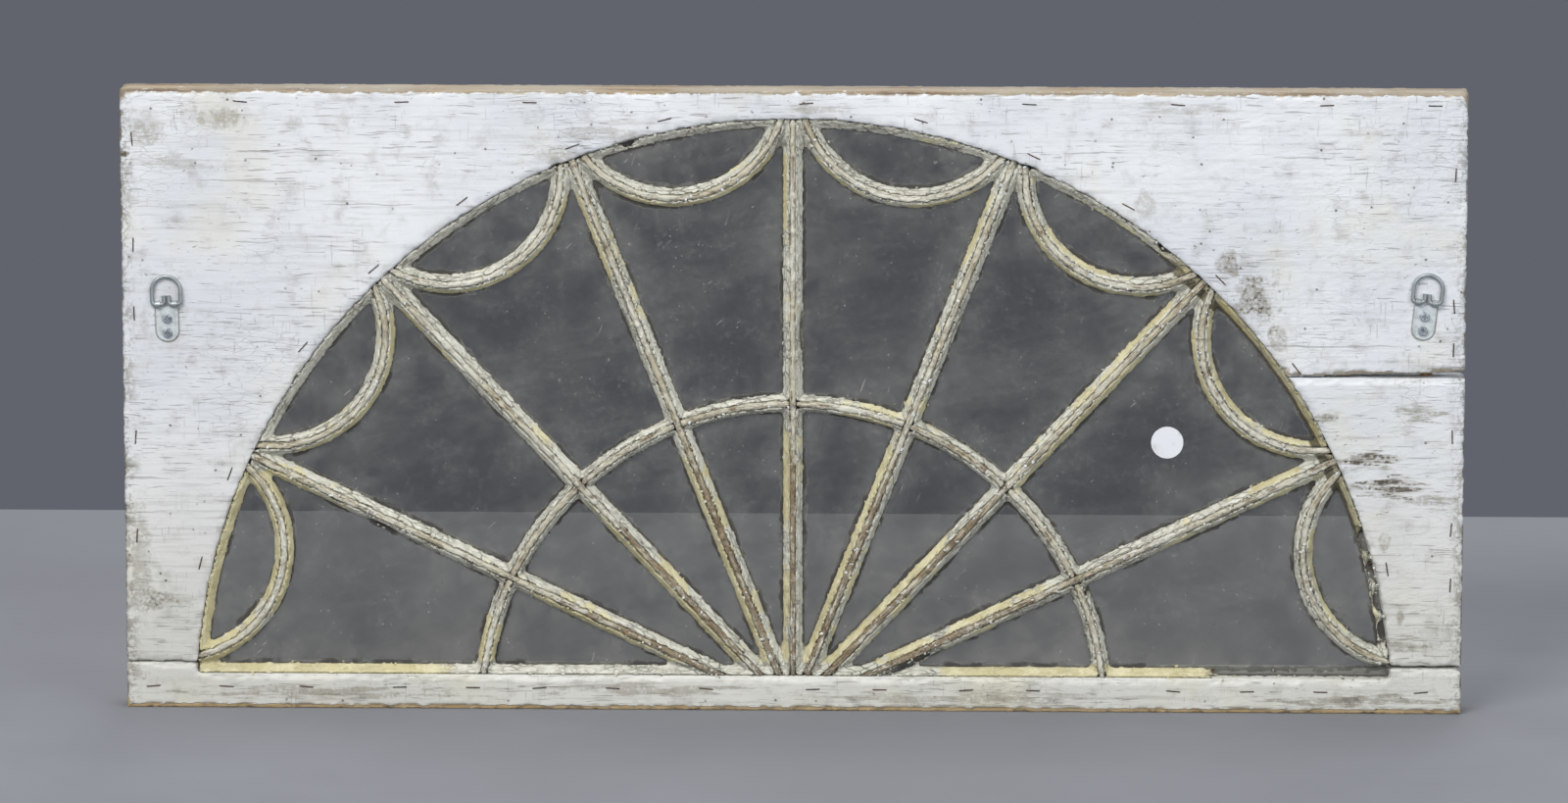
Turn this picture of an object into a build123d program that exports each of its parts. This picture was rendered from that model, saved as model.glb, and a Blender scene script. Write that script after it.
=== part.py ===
"""A half-round fanlight sash: a boarded wooden frame with an arched opening, seven radial
sash bars, a half-round inner bar, eight scalloped bars under the arch, 24 panes bedded in
putty, and two strap hangers with swinging D-rings on the glazed face.

Frame: millimetres, +Z up. The fan's centre is the origin, which lies on the sash's underside
at mid width and mid depth. -Y is the glazed (putty) face and +Y is the moulded face. The
sections are numbered 1 to 8 from -X to +X, and spoke k stands between sections k and k + 1.
"""

import os
from math import asin, cos, degrees, radians, sin, sqrt

from build123d import *

# ---------------------------------------------------------------- driving sizes
sash_width = 1145.0
sash_height = 537.0
sash_depth = 35.0
arch_radius = 513.0  # wall of the rabbet, seen on the glazed face
rail_face = 30.0  # height of the bottom rail below its rabbet
rabbet_width = 9.5  # from the rabbet's wall to the sight line
rabbet_depth = 13.0  # from the glazed face to the shoulder that the glass lies on
section_count = 8
pattern_section = 5  # the crescents are made here and turned to the other sections

glass_thickness = 2.0
glass_gap = 1.0  # between a pane's edge and the wood round it

spoke_width = 20.0
inner_bar_width = 17.0
scallop_width = 19.0
inner_bar_radius = 267.0
scallop_depth = 59.0  # from the arch to the middle of a scallop's belly
scallop_end_inset = 8.0  # a scallop's end stands this far inside the arch
scallop_end_offset = 3.0  # and this far clear of the spoke's side, to its own middle
bar_fillet = 5.5  # tongue of a bar between two panes
bar_front_setback = 1.0  # bars stop this far short of each face of the sash
bar_back_setback = 1.5
moulding_flat = 3.0  # square edge behind the glass, before the moulding
moulding_step = 1.0
moulding_width = 6.5
moulding_depth = 18.5

putty_front_setback = 1.6  # the bead ends this far behind the glazed face
putty_lip = 0.6  # thickness of the bead at its front edge

tenon_thickness = 6.0
tenon_width = 10.0
tenon_length = 22.0
tenon_gap = 0.2

top_joint_height = 474.0
middle_joint_height = 292.0
middle_gap_left = 0.3
middle_gap_arch = 0.8  # the right joint has opened: its gap at the arch
middle_gap_edge = 5.5  # and at the sash's side
bottom_gap_left = 0.8
bottom_gap_right = 2.4

dowel_diameter = 10.0
dowel_length = 50.0
dowel_gap = 0.1
dowel_end_chamfer = 1.0
dowel_depth_position = 3.0
top_dowel_positions = (300.0, 410.0, 525.0)
middle_dowel_positions = (468.0, 540.0)
bottom_dowel_positions = (545.0,)

sprig_length = 8.0
sprig_width = 1.4
sprig_thickness = 0.8
sprig_bite = 2.0  # how far a sprig is driven into the wood

hanger_height = 352.0  # hinge line of the left hanger above the underside
hanger_right_rise = 6.0  # the right hanger sits this much higher
hanger_edge_left = 38.5  # hanger's centre from the sash's side
hanger_edge_right = 34.0
hanger_tilt_left = 1.5  # degrees, turned anticlockwise as seen on the glazed face
hanger_tilt_right = -6.0
plate_width = 18.6
plate_thickness = 1.3
plate_length = 32.0  # from the hinge line to the rounded end
plate_tongue_gap = 0.4  # between the wire and the plate's top edge between its ears
plate_shoulder = 4.4
plate_screw_hole = 4.6
ear_bend_gap = 0.15  # between an ear and the start of the wire's bend beside it
ear_wrap = 250.0  # degrees that an ear curls round the wire
wire_diameter = 3.6
wire_gap = 0.08
ring_half_width = 12.2  # to the wire's centre line
ring_height = 23.9  # hinge line to the wire's centre line at the top
ring_corner_radius = 3.2
ring_stub_gap = 0.3  # between the wire's two ends, which turn up side by side
ring_stub_height = 7.6
ring_stub_bend = 3.0
ring_lean = 3.0  # degrees that the raised ring leans back towards the sash

screw_head_diameter = 8.2
screw_head_height = 2.4
screw_head_round = 1.2
screw_shank_diameter = 3.8
screw_length = 20.0
screw_tip = 5.0
screw_hole_gap = 0.05
screw_positions = (12.3, 24.8)  # below the hinge line
recess_span = 5.0
recess_width = 1.1
recess_depth = 1.3

staple_crown = 12.7
staple_leg = 7.0
staple_wire = 0.6
staple_setback = 10.5  # from an edge of the sash, or from the arch, to a staple's crown
staple_rail_setback = 19.0
staple_turn = 5.0  # degrees either way
top_staples = (-0.82, -0.58, -0.39, 0.02, 0.35, 0.57, 0.79, 0.95)  # shares of half the width
rail_staples = (
    -0.96, -0.85, -0.73, -0.59, -0.48, -0.38, -0.27, -0.13,
    0.03, 0.13, 0.26, 0.36, 0.57, 0.68, 0.79, 0.94,
)
left_staples = (0.28, 0.44, 0.64, 0.75, 0.92)  # shares of the height
right_staples = (0.21, 0.30, 0.45, 0.59, 0.66, 0.87)
arch_staples = (14, 35, 46, 57, 67, 78, 102, 111, 122.5, 133, 143, 157, 166)  # degrees

tag_diameter = 27.5
tag_thickness = 0.2
tag_scallop_gap = 58.0  # from the tag's centre to the scallop's middle
tag_section = 7

# ---------------------------------------------------------------- worked-out places
front = -sash_depth / 2
back = sash_depth / 2
shoulder = front + rabbet_depth
glass_front = shoulder - glass_thickness
sight_radius = arch_radius - rabbet_width
scallop_low_radius = arch_radius - scallop_depth
scallop_end_shift = spoke_width / 2 + scallop_end_offset
tag_radius_position = scallop_low_radius - tag_scallop_gap
rail_sight = rail_face + rabbet_width
base_angle = degrees(asin((rail_face + rail_sight) / 2 / arch_radius))
section_angle = (180 - 2 * base_angle) / section_count
moulding_start = shoulder + moulding_flat
moulding_end = shoulder + moulding_depth
moulding_bulge = 0.34  # share of the moulding's width at its middle
bar_front = front + bar_front_setback
bar_back = back - bar_back_setback
putty_front = front + putty_front_setback
wire_radius = wire_diameter / 2
wire_seat_radius = wire_radius + wire_gap
ring_stub_offset = wire_radius + ring_stub_gap / 2
ear_inner = ring_stub_offset + ring_stub_bend + ear_bend_gap
plate_tongue = wire_radius + plate_tongue_gap
hinge_line = front - plate_thickness - wire_seat_radius
FAR = 2 * sash_width


def spoke_angle(k):
    """Direction of spoke k, in degrees from +X towards +Z."""
    return 180 - base_angle - k * section_angle


def middle_angle(k):
    """Direction of the middle of section k."""
    return spoke_angle(k) + section_angle / 2


def scallop_circle():
    """Distance of a scallop's centre from the fan's centre, and its radius, both on its centre line."""
    end = arch_radius - scallop_end_inset
    half = radians(section_angle / 2) - asin(scallop_end_shift / end)
    centre = (end**2 - scallop_low_radius**2) / (2 * (end * cos(half) - scallop_low_radius))
    return centre, centre - scallop_low_radius


def scallop_centre(k):
    """Centre of scallop k in the plane of the sash, as (x, z)."""
    distance, _ = scallop_circle()
    angle = radians(middle_angle(k))
    return distance * cos(angle), distance * sin(angle)


# ---------------------------------------------------------------- flat regions, in X and Z
def disc(radius, centre=(0, 0)):
    """A round face about a centre."""
    return Pos(*centre) * Circle(radius)


def clockwise_of(angle, gap=0.0):
    """Everything clockwise of a line from the fan's centre, as seen on the glazed face."""
    return Rot(0, 0, angle) * Pos(0, -gap) * Rectangle(FAR, FAR, align=(Align.CENTER, Align.MAX))


def anticlockwise_of(angle, gap=0.0):
    """Everything anticlockwise of a line from the fan's centre."""
    return Rot(0, 0, angle) * Pos(0, gap) * Rectangle(FAR, FAR, align=(Align.CENTER, Align.MIN))


def above(height):
    """Everything above a height."""
    return Pos(0, height) * Rectangle(FAR, FAR, align=(Align.CENTER, Align.MIN))


def section_region(k, gap=0.0, height=0.0):
    """Section k between its spokes' centre lines, drawn in by a gap, and above a height."""
    region = above(height)
    if k > 1:
        region &= clockwise_of(spoke_angle(k - 1), gap)
    if k < section_count:
        region &= anticlockwise_of(spoke_angle(k), gap)
    return region


def slab(region, start, end):
    """A flat region given depth from y = start to y = end."""
    return extrude(Plane.XZ.offset(-end) * region, amount=end - start)


# ---------------------------------------------------------------- sections of bars
def bar_profile(width):
    """Section of a sash bar about its centre line: x across, y through the sash."""
    half, tongue = width / 2, bar_fillet / 2
    nose = half - moulding_width
    bulge = half - moulding_width * moulding_bulge
    middle = (moulding_start + moulding_end) / 2
    side = [
        Polyline(
            (0, bar_front),
            (tongue, bar_front),
            (tongue, shoulder),
            (half, shoulder),
            (half, moulding_start),
            (half - moulding_step, moulding_start),
        ),
        ThreePointArc(
            (half - moulding_step, moulding_start), (bulge, middle), (nose, moulding_end)
        ),
        Polyline((nose, moulding_end), (nose, bar_back), (0, bar_back)),
    ]
    right = make_face(Curve() + side + Line((0, bar_back), (0, bar_front)))
    return right + mirror(right, Plane.YZ)


def bead_profile(width):
    """Section of a bar's two putty beads and the tongue between them."""
    half, lip = width / 2, bar_fillet / 2 + putty_lip
    return make_face(
        Polyline(
            (-half, glass_front),
            (half, glass_front),
            (lip, putty_front),
            (-lip, putty_front),
            close=True,
        )
    )


def along(section, angle, end):
    """A bar of the given section from the fan's centre outwards in one direction."""
    a = radians(angle)
    plane = Plane(origin=(0, 0, 0), x_dir=(sin(a), 0, -cos(a)), z_dir=(cos(a), 0, sin(a)))
    return extrude(plane * section, amount=end)


def around(section, radius, centre=(0, 0)):
    """A ring of the given section about a centre in the plane of the sash."""
    axis = Axis((centre[0], 0, centre[1]), (0, 1, 0))
    return revolve(Pos(centre[0] + radius, 0, centre[1]) * section, axis=axis)


# ---------------------------------------------------------------- frame
def sight_cutter():
    """The opening behind the glass, with the moulding run round the arch and along the rail."""
    reach = arch_radius + moulding_width
    middle = (moulding_start + moulding_end) / 2
    bulge = moulding_width * moulding_bulge

    def outline(sight, far, sign):
        """The opening's section from a far edge to the moulded sight line."""
        curve = Curve() + [
            Polyline(
                (far, front - 1),
                (sight, front - 1),
                (sight, moulding_start),
                (sight + sign * moulding_step, moulding_start),
            ),
            ThreePointArc(
                (sight + sign * moulding_step, moulding_start),
                (sight + sign * bulge, middle),
                (sight + sign * moulding_width, moulding_end),
            ),
            Polyline(
                (sight + sign * moulding_width, moulding_end),
                (sight + sign * moulding_width, back + 1),
                (far, back + 1),
                (far, front - 1),
            ),
        ]
        return make_face(curve)

    arch = revolve(outline(sight_radius, 0, 1), axis=Axis.Y)
    side_plane = Plane(origin=(-reach, 0, 0), x_dir=(0, 0, 1), z_dir=(-1, 0, 0))
    rail = extrude(side_plane * outline(rail_sight, reach, -1), amount=-2 * reach)
    return arch & rail


def frame_blank():
    """The whole frame before it is parted into boards."""
    board = slab(Pos(0, sash_height / 2) * Rectangle(sash_width, sash_height), front, back)
    rabbet = slab(disc(arch_radius) & above(rail_face), front - 1, shoulder)
    return board - rabbet - sight_cutter()


def dowels():
    """Dowels that hold the boards edge to edge, as (list of dowels, list of their holes)."""
    pins, holes = [], []
    joints = (
        (top_joint_height, top_dowel_positions),
        (middle_joint_height, middle_dowel_positions),
        (rail_sight, bottom_dowel_positions),
    )
    for height, positions in joints:
        for x in positions:
            for side in (-1, 1):
                place = Pos(side * x, dowel_depth_position, height)
                pin = Cylinder(dowel_diameter / 2, dowel_length)
                pins.append(place * chamfer(pin.edges(), dowel_end_chamfer))
                hole = Cylinder(dowel_diameter / 2 + dowel_gap, dowel_length + 2 * dowel_gap)
                holes.append(place * hole)
    return pins, holes


def open_joint():
    """The gap of the right middle joint, which widens from the arch to the sash's side."""
    inner = sqrt(arch_radius**2 - middle_joint_height**2)
    outer = sash_width / 2
    slope = (middle_gap_edge - middle_gap_arch) / (outer - inner)
    low, far = 0.0, sash_width
    outline = Polyline(
        (low, middle_joint_height),
        (far, middle_joint_height),
        (far, middle_joint_height + middle_gap_edge + slope * (far - outer)),
        (inner, middle_joint_height + middle_gap_arch),
        (low, middle_joint_height + middle_gap_arch),
        close=True,
    )
    return slab(make_face(outline), front - 1, back + 1)


def boards(blank):
    """The frame's six boards, by name."""

    def piece(low, high, side=0):
        """What lies between two heights, on one side or on both."""
        width = sash_width if side else 2 * sash_width
        align = {-1: Align.MAX, 0: Align.CENTER, 1: Align.MIN}[side]
        region = Pos(0, low) * Rectangle(width, high - low, align=(align, Align.MIN))
        return blank & slab(region, front - 1, back + 1)

    upper_right = piece(middle_joint_height, top_joint_height, 1) - open_joint()
    lower_left = piece(rail_sight + bottom_gap_left, middle_joint_height - middle_gap_left, -1)
    return {
        "top_rail": piece(top_joint_height, sash_height),
        "left_upper_board": piece(middle_joint_height, top_joint_height, -1),
        "right_upper_board": upper_right,
        "left_lower_board": lower_left,
        "right_lower_board": piece(rail_sight + bottom_gap_right, middle_joint_height, 1),
        "bottom_rail": piece(0, rail_sight),
    }


# ---------------------------------------------------------------- bars
def raw_spoke(k):
    """Spoke k, mitred against its neighbours at the fan's centre and not yet fitted to the frame."""
    bar = along(bar_profile(spoke_width), spoke_angle(k), arch_radius)
    half = section_angle / 2
    wedge = clockwise_of(spoke_angle(k) + half) & anticlockwise_of(spoke_angle(k) - half)
    return bar & slab(wedge & disc(arch_radius), front, back)


def tenon(k, gap=0.0):
    """The tenon of spoke k in the arch, or its mortise when given a gap."""
    a = radians(spoke_angle(k))
    plane = Plane(origin=(0, 0, 0), x_dir=(sin(a), 0, -cos(a)), z_dir=(cos(a), 0, sin(a)))
    middle = moulding_start + tenon_width / 2
    section = Pos(0, middle) * Rectangle(tenon_thickness + 2 * gap, tenon_width + 2 * gap)
    start = sight_radius - moulding_step
    return extrude(plane.offset(start) * section, amount=tenon_length + gap)


def scallop_ring(profile):
    """A full ring of the given section on each scallop's centre line, by section."""
    _, radius = scallop_circle()
    return {k: around(profile, radius, scallop_centre(k)) for k in range(1, section_count + 1)}


def largest(shape):
    """The largest solid of a shape, for a cut that may leave a sliver behind a joint."""
    return max(shape.solids(), key=lambda s: s.volume)


# ---------------------------------------------------------------- glass and what holds it
def pane_regions(gap):
    """The flat outline of each pane, drawn in from the wood by a gap, by name."""
    inset = bar_fillet / 2 + gap
    _, radius = scallop_circle()
    regions = {}
    for k in range(1, section_count + 1):
        section = section_region(k, inset, rail_face + gap)
        scallop = scallop_centre(k)
        regions[f"hub_pane_{k}"] = section & disc(inner_bar_radius - inset)
        regions[f"middle_pane_{k}"] = (
            (section & disc(arch_radius - gap))
            - disc(inner_bar_radius + inset)
            - disc(radius + inset, scallop)
        )
        regions[f"crescent_pane_{k}"] = disc(arch_radius - gap) & disc(radius - inset, scallop)
    return regions


def main_face(region):
    """The largest face of a region, without the specks that a tight corner can leave."""
    return max(region.faces(), key=lambda f: f.area)


def sprig(angle, radius, outward, centre=(0, 0)):
    """A flat sprig on the glass, driven into the wood at a radius about a centre."""
    a = radians(angle)
    place = Location((centre[0] + radius * cos(a), 0, centre[1] + radius * sin(a)))
    reach = sprig_length / 2 - sprig_bite
    box = Box(sprig_length, sprig_thickness, sprig_width)
    local = Pos(-outward * reach, glass_front - sprig_thickness / 2, 0) * box
    return place * Rot(0, -angle, 0) * local


def side_sprig(k, radius, side):
    """A sprig driven sideways into spoke k, at a distance from the fan's centre."""
    a = radians(spoke_angle(k))
    place = Location((radius * cos(a), 0, radius * sin(a)))
    reach = bar_fillet / 2 - sprig_bite + sprig_length / 2
    box = Box(sprig_width, sprig_thickness, sprig_length)
    local = Pos(0, glass_front - sprig_thickness / 2, side * reach) * box
    return place * Rot(0, -spoke_angle(k), 0) * local


def rail_sprig(x):
    """A sprig driven down into the bottom rail."""
    height = rail_face - sprig_bite + sprig_length / 2
    return Pos(x, glass_front - sprig_thickness / 2, height) * Box(
        sprig_width, sprig_thickness, sprig_length
    )


def sprigs():
    """Every glazing sprig: one to each side of each pane."""
    _, radius = scallop_circle()
    tongue = bar_fillet / 2
    hub_reach = inner_bar_radius * 0.6
    middle_reach = (inner_bar_radius + scallop_low_radius) / 2
    found = []
    for k in range(1, section_count + 1):
        angle = middle_angle(k)
        centre = scallop_centre(k)
        found.append(sprig(angle, inner_bar_radius - tongue, 1))
        found.append(sprig(angle, inner_bar_radius + tongue, -1))
        found.append(sprig(angle, arch_radius, 1))
        found.append(sprig(angle + 180, radius + tongue, -1, centre))
        found.append(sprig(angle + 180, radius - tongue, 1, centre))
        for reach in (hub_reach, middle_reach):
            if k > 1:
                found.append(side_sprig(k - 1, reach, -1))
            else:
                found.append(rail_sprig(-reach))
            if k < section_count:
                found.append(side_sprig(k, reach, 1))
            else:
                found.append(rail_sprig(reach))
    return found


def putty_beads(points):
    """The bead round each pane, cut round the sprigs that it covers."""
    _, radius = scallop_circle()
    spoke_beads = {
        k: along(bead_profile(spoke_width), spoke_angle(k), arch_radius)
        for k in range(1, section_count)
    }
    inner_bead = around(bead_profile(inner_bar_width), inner_bar_radius)
    far = arch_radius + rabbet_width
    rim_section = make_face(
        Polyline(
            (sight_radius, glass_front),
            (far, glass_front),
            (far, putty_front),
            (arch_radius - putty_lip, putty_front),
            close=True,
        )
    )
    rim_bead = revolve(rim_section, axis=Axis.Y)
    rail_section = make_face(
        Polyline(
            (0, glass_front),
            (rail_sight, glass_front),
            (rail_face + putty_lip, putty_front),
            (0, putty_front),
            close=True,
        )
    )
    side_plane = Plane(origin=(far, 0, 0), x_dir=(0, 0, 1), z_dir=(-1, 0, 0))
    rail_bead = extrude(side_plane * rail_section, amount=2 * far)
    beads = {"hub_pane": [], "middle_pane": [], "crescent_pane": []}
    for name, region in pane_regions(0.0).items():
        kind, k = name.rsplit("_", 1)
        k = int(k)
        if kind == "crescent_pane" and k != pattern_section:
            continue
        stock = slab(main_face(region), putty_front, glass_front)
        tools = []
        if kind == "crescent_pane":
            tools.append(around(bead_profile(scallop_width), radius, scallop_centre(k)))
            tools.append(rim_bead)
        else:
            tools.append(inner_bead)
            tools.append(spoke_beads[k - 1] if k > 1 else rail_bead)
            tools.append(spoke_beads[k] if k < section_count else rail_bead)
            if kind == "hub_pane" and 1 < k < section_count:
                tools.append(rail_bead)
            if kind == "middle_pane":
                tools.append(around(bead_profile(scallop_width), radius, scallop_centre(k)))
        opening = stock
        for tool in tools:
            opening = opening - tool
        bead = stock - largest(opening)
        beads[kind].append(largest(cut_near(bead, points)))
    beads["crescent_pane"] = turned_copies(beads["crescent_pane"][0])
    return beads


def boxes_meet(a, b):
    """Whether two bounding boxes meet."""
    return (
        a.min.X <= b.max.X
        and b.min.X <= a.max.X
        and a.min.Y <= b.max.Y
        and b.min.Y <= a.max.Y
        and a.min.Z <= b.max.Z
        and b.min.Z <= a.max.Z
    )


def turned_copies(shape):
    """A piece of the pattern section, turned about the fan's centre to every section."""
    steps = [k - pattern_section for k in range(1, section_count + 1)]
    return [Rot(0, section_angle * step, 0) * shape for step in steps]


def cut_near(shape, tools):
    """A shape less those tools whose boxes meet its own."""
    box = shape.bounding_box(optimal=False)
    near = [tool for tool in tools if boxes_meet(box, tool.bounding_box(optimal=False))]
    return shape - near if near else shape


# ---------------------------------------------------------------- hangers
def hanger_place(side):
    """Where a hanger's own frame lies: hinge line along its X, plate hanging towards -Z."""
    if side < 0:
        x, z, tilt = hanger_edge_left - sash_width / 2, hanger_height, hanger_tilt_left
    else:
        x = sash_width / 2 - hanger_edge_right
        z, tilt = hanger_height + hanger_right_rise, hanger_tilt_right
    return Pos(x, hinge_line, z) * Rot(0, -tilt, 0)


def hanger_plate():
    """A strap plate with two ears that curl over the ring's wire, about the hinge line."""
    half = plate_width / 2
    strap = Pos(0, -plate_shoulder) * Rectangle(
        plate_width, plate_length - plate_shoulder - half, align=(Align.CENTER, Align.MAX)
    )
    strap += Pos(0, half - plate_length) * Circle(half)
    neck_height = plate_shoulder - plate_tongue
    strap += Pos(0, -plate_shoulder) * Rectangle(
        2 * ear_inner, neck_height, align=(Align.CENTER, Align.MIN)
    )
    ear_width = half - ear_inner
    for side in (-1, 1):
        x = side * (ear_inner + ear_width / 2)
        strap += Pos(x, -plate_shoulder) * Rectangle(
            ear_width, plate_shoulder, align=(Align.CENTER, Align.MIN)
        )
    for z in screw_positions:
        strap -= Pos(0, -z) * Circle(plate_screw_hole / 2)
    flat = slab(strap, wire_seat_radius, wire_seat_radius + plate_thickness)
    ear_section = Pos(0, wire_seat_radius + plate_thickness / 2) * Rectangle(
        ear_width, plate_thickness
    )
    for side in (-1, 1):
        x = side * (ear_inner + ear_width / 2)
        curl = revolve(
            Plane.XY * Pos(x, 0) * ear_section, axis=Axis.X, revolution_arc=ear_wrap
        )
        flat += curl
    return flat


def ring_wire():
    """The D-ring's bent wire, standing up from the hinge line."""
    r, b, c = ring_half_width, ring_stub_bend, ring_corner_radius
    s, top = ring_stub_offset, ring_height - ring_half_width
    half_turn = cos(radians(45))
    path = Curve() + [
        Line((-s, ring_stub_height), (-s, b)),
        ThreePointArc((-s, b), (-s - b * (1 - half_turn), b * (1 - half_turn)), (-s - b, 0)),
        Line((-s - b, 0), (c - r, 0)),
        ThreePointArc((c - r, 0), (c * (1 - half_turn) - r, c * (1 - half_turn)), (-r, c)),
        Line((-r, c), (-r, top)),
        ThreePointArc((-r, top), (0, ring_height), (r, top)),
        Line((r, top), (r, c)),
        ThreePointArc((r, c), (r - c * (1 - half_turn), c * (1 - half_turn)), (r - c, 0)),
        Line((r - c, 0), (s + b, 0)),
        ThreePointArc((s + b, 0), (s + b * (1 - half_turn), b * (1 - half_turn)), (s, b)),
        Line((s, b), (s, ring_stub_height)),
    ]
    wire = (Plane.XZ * path).wire()
    start = Plane(origin=wire @ 0, z_dir=wire % 0)
    body = sweep(start * Circle(wire_radius), path=wire)
    return Rot(-ring_lean, 0, 0) * body


def hanger_screw():
    """A pan-head screw with a cross recess, pointing into the sash along +Y from its head's seat."""
    head = Pos(0, 0, screw_head_height / 2) * Cylinder(
        screw_head_diameter / 2, screw_head_height
    )
    head = fillet(head.edges().sort_by(Axis.Z)[-1], screw_head_round)
    shank_length = screw_length - screw_tip
    shank = Pos(0, 0, -shank_length / 2) * Cylinder(screw_shank_diameter / 2, shank_length)
    tip = Pos(0, 0, -shank_length - screw_tip / 2) * Cone(
        0, screw_shank_diameter / 2, screw_tip
    )
    body = head + shank + tip
    floor = screw_head_height - recess_depth / 2
    body -= Pos(0, 0, floor) * Box(recess_span, recess_width, recess_depth)
    body -= Pos(0, 0, floor) * Box(recess_width, recess_span, recess_depth)
    return Rot(90, 0, 0) * body


def pilot_hole():
    """The hole that a hanger's screw needs in the sash, along +Y from the plate's face."""
    shank_length = screw_length - screw_tip
    radius = screw_shank_diameter / 2 + screw_hole_gap
    hole = Pos(0, 0, -shank_length / 2) * Cylinder(radius, shank_length)
    hole += Pos(0, 0, -shank_length - screw_tip / 2) * Cone(0, radius, screw_tip)
    return Rot(90, 0, 0) * hole


def screw_places(side):
    """Seats of a hanger's screws on the front of its plate."""
    return [hanger_place(side) * Pos(0, wire_seat_radius, -z) for z in screw_positions]


# ---------------------------------------------------------------- staples and tag
def staple(x, z, turn):
    """A staple driven into the glazed face, its crown turned from level by some degrees."""
    half = (staple_crown - staple_wire) / 2
    body = Pos(0, front - staple_wire / 2, 0) * Box(staple_crown, staple_wire, staple_wire)
    for side in (-1, 1):
        leg = Pos(side * half, front + staple_leg / 2, 0)
        body += leg * Box(staple_wire, staple_leg, staple_wire)
    return Pos(x, 0, z) * Rot(0, -turn, 0) * body


def staples():
    """Rows of staples along the sash's edges and round the arch."""
    half, row = sash_width / 2, arch_radius + staple_setback
    places = [(half * s, sash_height - staple_setback, 0) for s in top_staples]
    places += [(half * s, staple_rail_setback, 0) for s in rail_staples]
    places += [(staple_setback - half, sash_height * s, 90) for s in left_staples]
    places += [(half - staple_setback, sash_height * s, 90) for s in right_staples]
    places += [(row * cos(radians(a)), row * sin(radians(a)), a - 90) for a in arch_staples]
    turns = (-1, 0.4, -0.2, 1, -0.6)
    return [
        staple(x, z, turn + staple_turn * turns[n % len(turns)])
        for n, (x, z, turn) in enumerate(places)
    ]


def paper_tag():
    """A blank round paper tag stuck to the front of a middle pane."""
    a = radians(middle_angle(tag_section))
    centre = (tag_radius_position * cos(a), tag_radius_position * sin(a))
    return slab(disc(tag_diameter / 2, centre), glass_front - tag_thickness, glass_front)


# ---------------------------------------------------------------- assembly
def build():
    """Every node of the sash, by name."""
    blank = frame_blank()
    points = sprigs()
    spokes = range(1, section_count)
    sections = range(1, section_count + 1)
    raw = {k: raw_spoke(k) for k in spokes}
    made = {}

    for k in spokes:
        fitted = largest(raw[k] - blank)
        made[f"spoke_{k}"] = cut_near(fitted + tenon(k), points)

    inner_ring = around(bar_profile(inner_bar_width), inner_bar_radius)
    scallops = scallop_ring(bar_profile(scallop_width))
    for k in sections:
        neighbours = [raw[n] for n in (k - 1, k) if n in raw]
        sector = slab(section_region(k) & disc(arch_radius), front, back)
        fitted = largest((inner_ring & sector) - neighbours - blank)
        made[f"inner_bar_{k}"] = cut_near(fitted, points)
        fitted = largest((scallops[k] & sector) - neighbours - blank)
        made[f"scallop_{k}"] = cut_near(fitted, points)

    crescents = []
    for name, region in pane_regions(glass_gap).items():
        pane = slab(main_face(region), glass_front, shoulder)
        if name.startswith("crescent"):
            crescents.append(pane)
        else:
            made[name] = pane
    made["crescent_panes"] = Compound(children=crescents)

    pins, holes = dowels()
    driven = staples()
    cutters = points + driven + holes + [tenon(k, tenon_gap) for k in spokes]
    cutters += [place * pilot_hole() for side in (-1, 1) for place in screw_places(side)]
    for name, board in boards(blank).items():
        made[name] = largest(cut_near(board, cutters))

    made["frame_dowels"] = Compound(children=pins)
    made["glazing_sprigs"] = Compound(children=points)
    made["face_staples"] = Compound(children=driven)
    made["paper_tag"] = paper_tag()
    for kind, beads in putty_beads(points).items():
        made[kind.replace("pane", "putty")] = Compound(children=beads)

    screws = []
    for side, word in {-1: "left", 1: "right"}.items():
        made[f"{word}_hanger_plate"] = hanger_place(side) * hanger_plate()
        made[f"{word}_hanger_ring"] = hanger_place(side) * ring_wire()
        screws += [place * hanger_screw() for place in screw_places(side)]
    made["hanger_screws"] = Compound(children=screws)
    return made


def main():
    """Writes one STEP file per node."""
    os.makedirs("parts", exist_ok=True)
    for name, shape in build().items():
        export_step(shape, f"parts/{name}.step")


main()
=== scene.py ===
"""Looks of the half-round fanlight sash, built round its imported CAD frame.

Everything is in metres in the sash's own frame: X across, Y through the sash from the puttied
face to the moulded face, Z up, with the fan's centre at the origin.
"""

from __future__ import annotations

import logging
import math
from dataclasses import dataclass, field, fields
from enum import Enum
from typing import Any, Callable, Iterable, Sequence

import bmesh
import bpy
import numpy as np
from mathutils import Matrix, Vector


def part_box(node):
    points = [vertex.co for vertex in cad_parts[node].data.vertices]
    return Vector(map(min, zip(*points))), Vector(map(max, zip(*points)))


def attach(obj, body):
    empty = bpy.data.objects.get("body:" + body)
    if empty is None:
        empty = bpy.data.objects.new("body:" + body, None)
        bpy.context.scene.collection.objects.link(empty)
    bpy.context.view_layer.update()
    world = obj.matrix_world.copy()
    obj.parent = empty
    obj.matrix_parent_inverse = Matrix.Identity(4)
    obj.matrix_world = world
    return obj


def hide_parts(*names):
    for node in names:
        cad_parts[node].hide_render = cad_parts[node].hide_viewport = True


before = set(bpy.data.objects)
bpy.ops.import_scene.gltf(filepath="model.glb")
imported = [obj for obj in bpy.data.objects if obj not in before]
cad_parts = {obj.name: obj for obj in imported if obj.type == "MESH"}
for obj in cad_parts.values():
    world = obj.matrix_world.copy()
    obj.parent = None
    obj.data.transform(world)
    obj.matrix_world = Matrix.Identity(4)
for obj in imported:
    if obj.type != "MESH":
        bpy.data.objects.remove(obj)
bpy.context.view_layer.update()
LOG = logging.getLogger("fanlight")

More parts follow.
